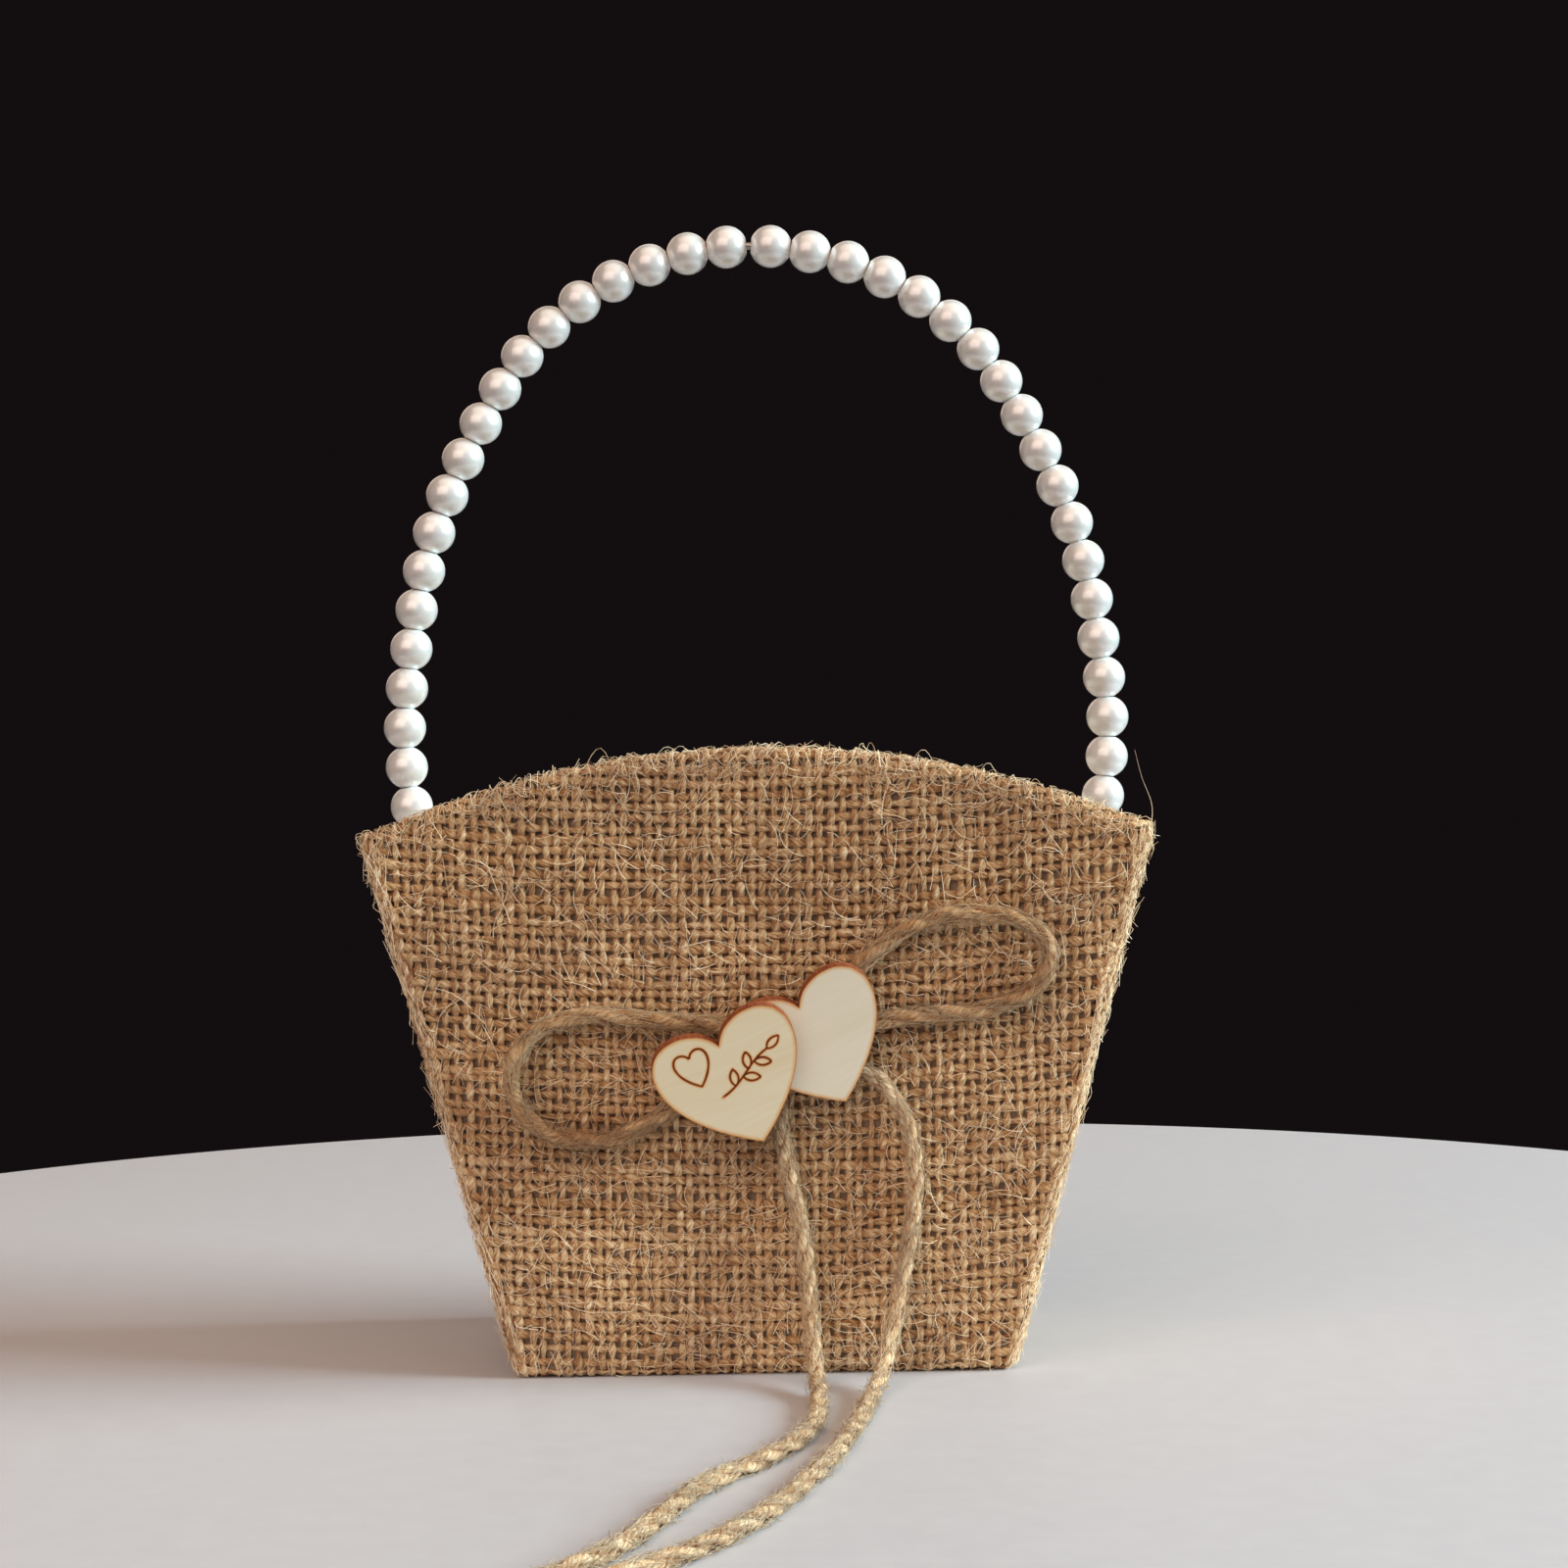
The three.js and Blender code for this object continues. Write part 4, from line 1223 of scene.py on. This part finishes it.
def add_eyelets():
    brass = metal_look("brass_eyelet", srgb(206, 172, 104), srgb(150, 116, 62), roughness=0.3)
    low, high = node_points("eyelet_right").min(0), node_points("eyelet_right").max(0)
    flange_radius = (high[1] - low[1]) / 2
    lean = math.atan(GAIN_X)
    width = (high[0] - low[0] - 2 * flange_radius * math.sin(lean)) / math.cos(lean)
    mesh = lathe("eyelet_ring", eyelet_profile(width / 2 - FLANGE_THICKNESS), 40, brass)
    for side, sign in (("left", -1), ("right", 1)):
        axis = (sign * math.cos(lean), 0, -math.sin(lean))
        put_on_axis(f"eyelet_ring_{side}", mesh, f"eyelet_{side}", axis, "basket")


add_wire()
add_pearls()
add_eyelets()

# ---- Hearts -------------------------------------------------------------------------------

HEART_THICKNESS = 2.8
HEART_TILT = (0.09, -0.12, 1)
# The right half of the outline from the tip to the notch, as Bezier pieces.
HEART_HALF = [
    ((0, 0), (5.5, 3.6), (13.1, 10.3), (13.4, 17.4)),
    ((13.4, 17.4), (13.5, 21.3), (11, 24.1), (7.3, 24.1)),
    ((7.3, 24.1), (4, 24.1), (1.3, 22.6), (0, 19.9)),
]
SMALL_HEART_TIP = (-5.8, 14.3)
SMALL_HEART_SCALE = (0.235, 0.285)
SPRIG_FOOT = (-2.8, 10.9)
SPRIG_LENGTH = 14.6
SPRIG_LEAN = math.radians(25)
LEAF_LENGTH = 3.1
LEAF_ANGLE = math.radians(52)
GROOVE_HALF = 0.14
GROOVE_DEPTH = 0.22
# How the heart's face is meshed: spacings of the points, and how far the grid stays clear.
OUTLINE_STEP = 0.4
SMALL_HEART_STEP = 1.3
GROOVE_STEP = 0.3
FACE_STEP = 0.75
FACE_SHIFT = 0.37
FACE_HALF_WIDTH, FACE_HEIGHT = 14, 25
BORDER_ROWS = (0.3, 0.8)
GROOVE_ROWS = (GROOVE_HALF, 0.42)
CLEAR_OF_BORDER = 1.3
CLEAR_OF_GROOVE = 0.6


def bezier(a, b, c, d, count):
    t = np.linspace(0, 1, count)[:, None]
    a, b, c, d = (np.array(p, float) for p in (a, b, c, d))
    return (1 - t) ** 3 * a + 3 * (1 - t) ** 2 * t * b + 3 * (1 - t) * t**2 * c + t**3 * d


def heart_outline(step):
    """The closed outline, anticlockwise from the tip, without its first point again."""
    half = [bezier(*piece, 60)[:-1] for piece in HEART_HALF]
    half = respaced(np.vstack([*half, [HEART_HALF[-1][-1]]]), step)
    other = half[::-1][1:-1] * (-1, 1)
    return np.vstack([half, other])


def sprig():
    """Grooves of a leaf sprig: a curved stem with pairs of leaves and one at its end."""
    stem = bezier((0, 0), (4, -1), (8, 1), (SPRIG_LENGTH - LEAF_LENGTH, 0), 28)
    grooves = [stem]
    for at, way in ((0.24, 1), (0.4, -1), (0.56, 1), (0.72, -1), (1, 0)):
        foot = stem[round(at * (len(stem) - 1))]
        lean = way * LEAF_ANGLE
        ahead = np.array([math.cos(lean), math.sin(lean)]) * LEAF_LENGTH
        aside = np.array([-math.sin(lean), math.cos(lean)]) * LEAF_LENGTH * 0.36
        for bulge in (aside, -aside):
            near, far = foot + ahead * 0.3 + bulge, foot + ahead * 0.75 + bulge * 0.8
            grooves.append(bezier(foot, near, far, foot + ahead, 12))
    turn = np.array([
        [math.cos(SPRIG_LEAN), math.sin(SPRIG_LEAN)],
        [-math.sin(SPRIG_LEAN), math.cos(SPRIG_LEAN)],
    ])
    return [np.array(SPRIG_FOOT) + line @ turn for line in grooves]


def ring_closed(outline):
    """The outline with its first point again at its end."""
    return np.vstack([outline, outline[:1]])


def small_heart():
    outline = ring_closed(heart_outline(SMALL_HEART_STEP))
    return np.array(SMALL_HEART_TIP) + outline * SMALL_HEART_SCALE


def distance_to(points, line):
    """How far each point is from a line of points."""
    best = np.full(len(points), 1e9)
    for a, b in zip(line, line[1:]):
        way = b - a
        t = np.clip((points - a) @ way / max(way @ way, 1e-12), 0, 1)
        best = np.minimum(best, np.linalg.norm(points - a - t[:, None] * way, axis=1))
    return best


def distance_to_any(points, lines):
    return np.min([distance_to(points, line) for line in lines], axis=0)


def to_the_left(ways):
    return np.stack([-ways[:, 1], ways[:, 0]], -1)


def inside(points, outline):
    """True for the points inside a closed outline."""
    found = np.zeros(len(points), bool)
    x, y = points[:, 0], points[:, 1]
    for (ax, ay), (bx, by) in zip(outline, np.roll(outline, -1, axis=0)):
        crosses = (ay > y) != (by > y)
        height = by - ay if by != ay else 1e-12
        found ^= crosses & (x < (bx - ax) * (y - ay) / height + ax)
    return found


def face_points(outline, grooves):
    """Free points for the heart's face: a grid, rows along the border and rows along grooves."""
    columns = np.arange(-FACE_HALF_WIDTH, FACE_HALF_WIDTH, FACE_STEP)
    rows = np.arange(0, FACE_HEIGHT, FACE_STEP)
    grid = np.stack(np.meshgrid(columns, rows), -1).reshape(-1, 2) + FACE_SHIFT
    grid[:, 0] += FACE_SHIFT * (np.round(grid[:, 1] / FACE_STEP) % 2)
    closed = ring_closed(outline)
    grid = grid[inside(grid, outline)]
    found = [grid[distance_to(grid, closed) > CLEAR_OF_BORDER]]
    inwards = to_the_left(tangents(outline, closed=True))
    for depth in BORDER_ROWS:
        row = outline + inwards * depth
        found.append(row[inside(row, outline) & (distance_to(row, closed) > depth * 0.9)])
    free = np.vstack(found)
    for groove in grooves:
        free = free[distance_to(free, groove) > CLEAR_OF_GROOVE]
    beside = []
    for groove in grooves:
        side = to_the_left(tangents(groove))
        for reach in GROOVE_ROWS:
            beside += [groove + side * reach, groove - side * reach]
    if beside:
        beside = np.vstack(beside)
        clear = distance_to_any(beside, grooves) > GROOVE_HALF * 0.93
        free = np.vstack([free, beside[clear]])
    return free


def meshed_face(outline, grooves):
    """The heart's face in the flat: its points and faces, with an edge along every line."""
    n = len(outline)
    edges = [(i, (i + 1) % n) for i in range(n)]
    start = n
    for groove in grooves:
        edges += [(start + i, start + i + 1) for i in range(len(groove) - 1)]
        start += len(groove)
    points = np.vstack([outline, *grooves, face_points(outline, grooves)])
    flat = [Vector(p) for p in points]
    verts, _, faces, *_ = geometry.delaunay_2d_cdt(flat, edges, [], 1, 1e-5)
    return np.array([tuple(v) for v in verts]), [list(corners) for corners in faces]


def cut_and_burnt(verts, outline, grooves):
    """How deep the laser cut each point of the face, and how much it is charred."""
    border = distance_to(verts, ring_closed(outline))
    burn = 0.5 * np.exp(-border / 0.35)
    if not grooves:
        return np.zeros(len(verts)), burn
    near = distance_to_any(verts, grooves)
    burn = np.maximum(burn, np.exp(-((near / 0.19) ** 2)))
    burn = np.maximum(burn, 0.22 * np.exp(-near / 0.4))
    return GROOVE_DEPTH * np.clip(1 - near / GROOVE_HALF, 0, 1), burn


def heart_mesh(name, grooves, face, edge):
    """A plate with a groove cut along each line. Its "burn" is 1 where the wood is charred."""
    outline = heart_outline(OUTLINE_STEP)
    verts, front = meshed_face(outline, grooves)
    depth, burn = cut_and_burnt(verts, outline, grooves)
    n, count = len(outline), len(verts)
    top = np.column_stack([verts, HEART_THICKNESS - depth])
    bottom = np.column_stack([outline, np.zeros(n)])
    where = [int(np.linalg.norm(verts - p, axis=1).argmin()) for p in outline]
    walls = [[count + i, count + (i + 1) % n, where[(i + 1) % n], where[i]] for i in range(n)]
    back = list(range(count + n - 1, count - 1, -1))
    mesh = new_mesh(name, np.vstack([top, bottom]), [*front, *walls, back], face, edge)
    set_shade(mesh, "burn", "POINT", np.concatenate([burn, np.full(n, 0.3)]))
    kinds = np.array([0] * len(front) + [1] * n + [0], np.int32)
    mesh.polygons.foreach_set("material_index", kinds)
    mesh.shade_smooth()
    mesh.set_sharp_from_angle(angle=math.radians(25))
    return mesh


def ply_face_look(name, pale, warm):
    """Pale birch ply: fine grain lines along X, faint bands, and char where "burn" says."""
    look = Look(name, Roughness=0.62, Specular_IOR_Level=0.35)
    place = look.place()
    grain = look.noise(look.scaled(place, (90, 1500, 400)), 1, detail=5, roughness=0.6)
    bands = look.noise(look.scaled(place, (25, 160, 100)), 1, detail=2)
    fine = look.ramp(grain, (0.25, warm), (0.65, pale))
    broad = look.ramp(bands, (0.35, warm), (0.6, pale))
    wood = look.mix(0.55, fine, broad)
    uneven = look.maths("MULTIPLY_ADD", look.noise(place, 420, detail=3), 0.9, 0.6)
    burn = look.maths("MULTIPLY", look.attribute("burn"), uneven)
    char = look.shades(
        burn, (0.05, 255, 255, 255), (0.3, 246, 202, 148), (0.6, 190, 104, 56), (0.95, 104, 48, 24),
    )
    look.colour(look.times(wood, char))
    look.bump(grain, 0.04)
    return look.material


def burnt_edge_look():
    """The laser-cut edge: reddish brown char with the laser's upright streaks."""
    look = Look("burnt_ply_edge", Roughness=0.75)
    streaks = look.noise(look.scaled(look.place(), (2200, 2200, 180)), 1, detail=3)
    layers = look.noise(look.scaled(look.place(), (60, 60, 1400)), 1, detail=2)
    burnt = look.shades(streaks, (0.3, 104, 44, 20), (0.55, 150, 74, 36), (0.8, 184, 108, 60))
    plies = look.shades(layers, (0.4, 80, 32, 14), (0.6, 190, 112, 62))
    look.colour(look.mix(0.3, burnt, plies))
    look.bump(streaks, 0.1)
    return look.material


def heart_place(tip, turn):
    face = Matrix.Translation((0, -BASE_HALF_DEPTH * MM, 0))
    face = face @ Matrix.Rotation(math.pi / 2 + math.atan(FACE_LEAN), 4, "X")
    tilt = Vector((0, 0, 1)).rotation_difference(Vector(HEART_TILT)).to_matrix().to_4x4()
    return face @ Matrix.Translation(Vector(tip) * MM) @ tilt @ Matrix.Rotation(turn, 4, "Z")


def add_heart(name, node, mesh, tip, turn):
    piece = add_piece(name, mesh)
    piece.matrix_world = heart_place(tip, math.radians(turn))
    put_in_place(piece, node, "basket")


def add_hearts():
    edge = burnt_edge_look()
    front = ply_face_look("ply_front", srgb(233, 222, 193), srgb(226, 209, 172))
    rear = ply_face_look("ply_rear", srgb(233, 225, 205), srgb(227, 217, 192))
    grooves = [respaced(line, GROOVE_STEP) for line in [small_heart(), *sprig()]]
    engraved = heart_mesh("engraved_heart", grooves, front, edge)
    plain = heart_mesh("plain_heart", [], rear, edge)
    add_heart("plywood_heart_rear", "heart_rear", plain, (15.1, 52.8, 4), 25)
    add_heart("plywood_heart_front", "heart_front", engraved, (0.1, 46.5, 7.75), 23.5)


add_hearts()

# ---- Table top, light and world -----------------------------------------------------------

TABLE_RADIUS = 304
TABLE_CENTRE_Y = 64
TABLE_THICKNESS = 18
TABLE_EDGE = 3


def table_look():
    look = Look("pale_table_top", Roughness=0.5, Specular_IOR_Level=0.3)
    specks = look.noise(look.place(), 160, detail=4)
    look.colour(look.shades(specks, (0.3, 206, 206, 212), (0.7, 211, 211, 216)))
    look.roughness(look.grey(specks, (0.3, 0.46), (0.7, 0.54)))
    return look.material


def add_table():
    """A round pale table top with a rounded edge, with its top at height 0."""
    inner = TABLE_RADIUS - TABLE_EDGE
    round_edge = [
        (inner + TABLE_EDGE * math.sin(a), -TABLE_EDGE + TABLE_EDGE * math.cos(a))
        for a in np.linspace(0, math.pi / 2, 8)
    ]
    profile = [(0.01, 0), *round_edge, (TABLE_RADIUS, -TABLE_THICKNESS), (0.01, -TABLE_THICKNESS)]
    mesh = lathe("table_top", profile[::-1], 180, table_look())
    table = add_piece("table_top", mesh)
    table.location = (0, TABLE_CENTRE_Y * MM, 0)
    table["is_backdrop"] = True


def add_area_light(name, at, aim, size, power, colour=(1, 1, 1)):
    data = bpy.data.lights.new(name, "AREA")
    data.shape = "RECTANGLE"
    data.size, data.size_y = size[0] * MM, size[1] * MM
    data.energy = power
    data.color = colour
    light = bpy.data.objects.new(name, data)
    light.location = Vector(at) * MM
    light.rotation_mode = "QUATERNION"
    light.rotation_quaternion = (Vector(aim) - Vector(at)).to_track_quat("-Z", "Y")
    light.visible_camera = False
    bpy.context.scene.collection.objects.link(light)


def add_world():
    world = bpy.data.worlds.new("dark_room")
    world.use_nodes = True
    world.node_tree.nodes["Background"].inputs["Color"].default_value = (0.0064, 0.0046, 0.0051, 1)
    bpy.context.scene.world = world
    bpy.context.scene.view_settings.view_transform = "Standard"


def add_lights():
    target = (0, -20, 80)
    add_area_light("window_right", (2950, -450, 1280), target, (2000, 1500), 180, (0.75, 0.92, 0.96))
    add_area_light("lamp_left", (-1250, -2800, 1500), target, (3600, 2400), 51, (1, 0.79, 0.7))
    add_area_light("soft_top", (0, -900, 2700), target, (3400, 3400), 38, (1, 0.74, 0.55))
    add_area_light("soft_back", (-300, 2700, 1300), target, (3600, 1800), 15, (1, 0.77, 0.64))


add_table()
add_world()
add_lights()

boxes = {"cad": CAD_BOX, "visual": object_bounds()}
{key: [list(corner) for corner in box] for key, box in boxes.items()}
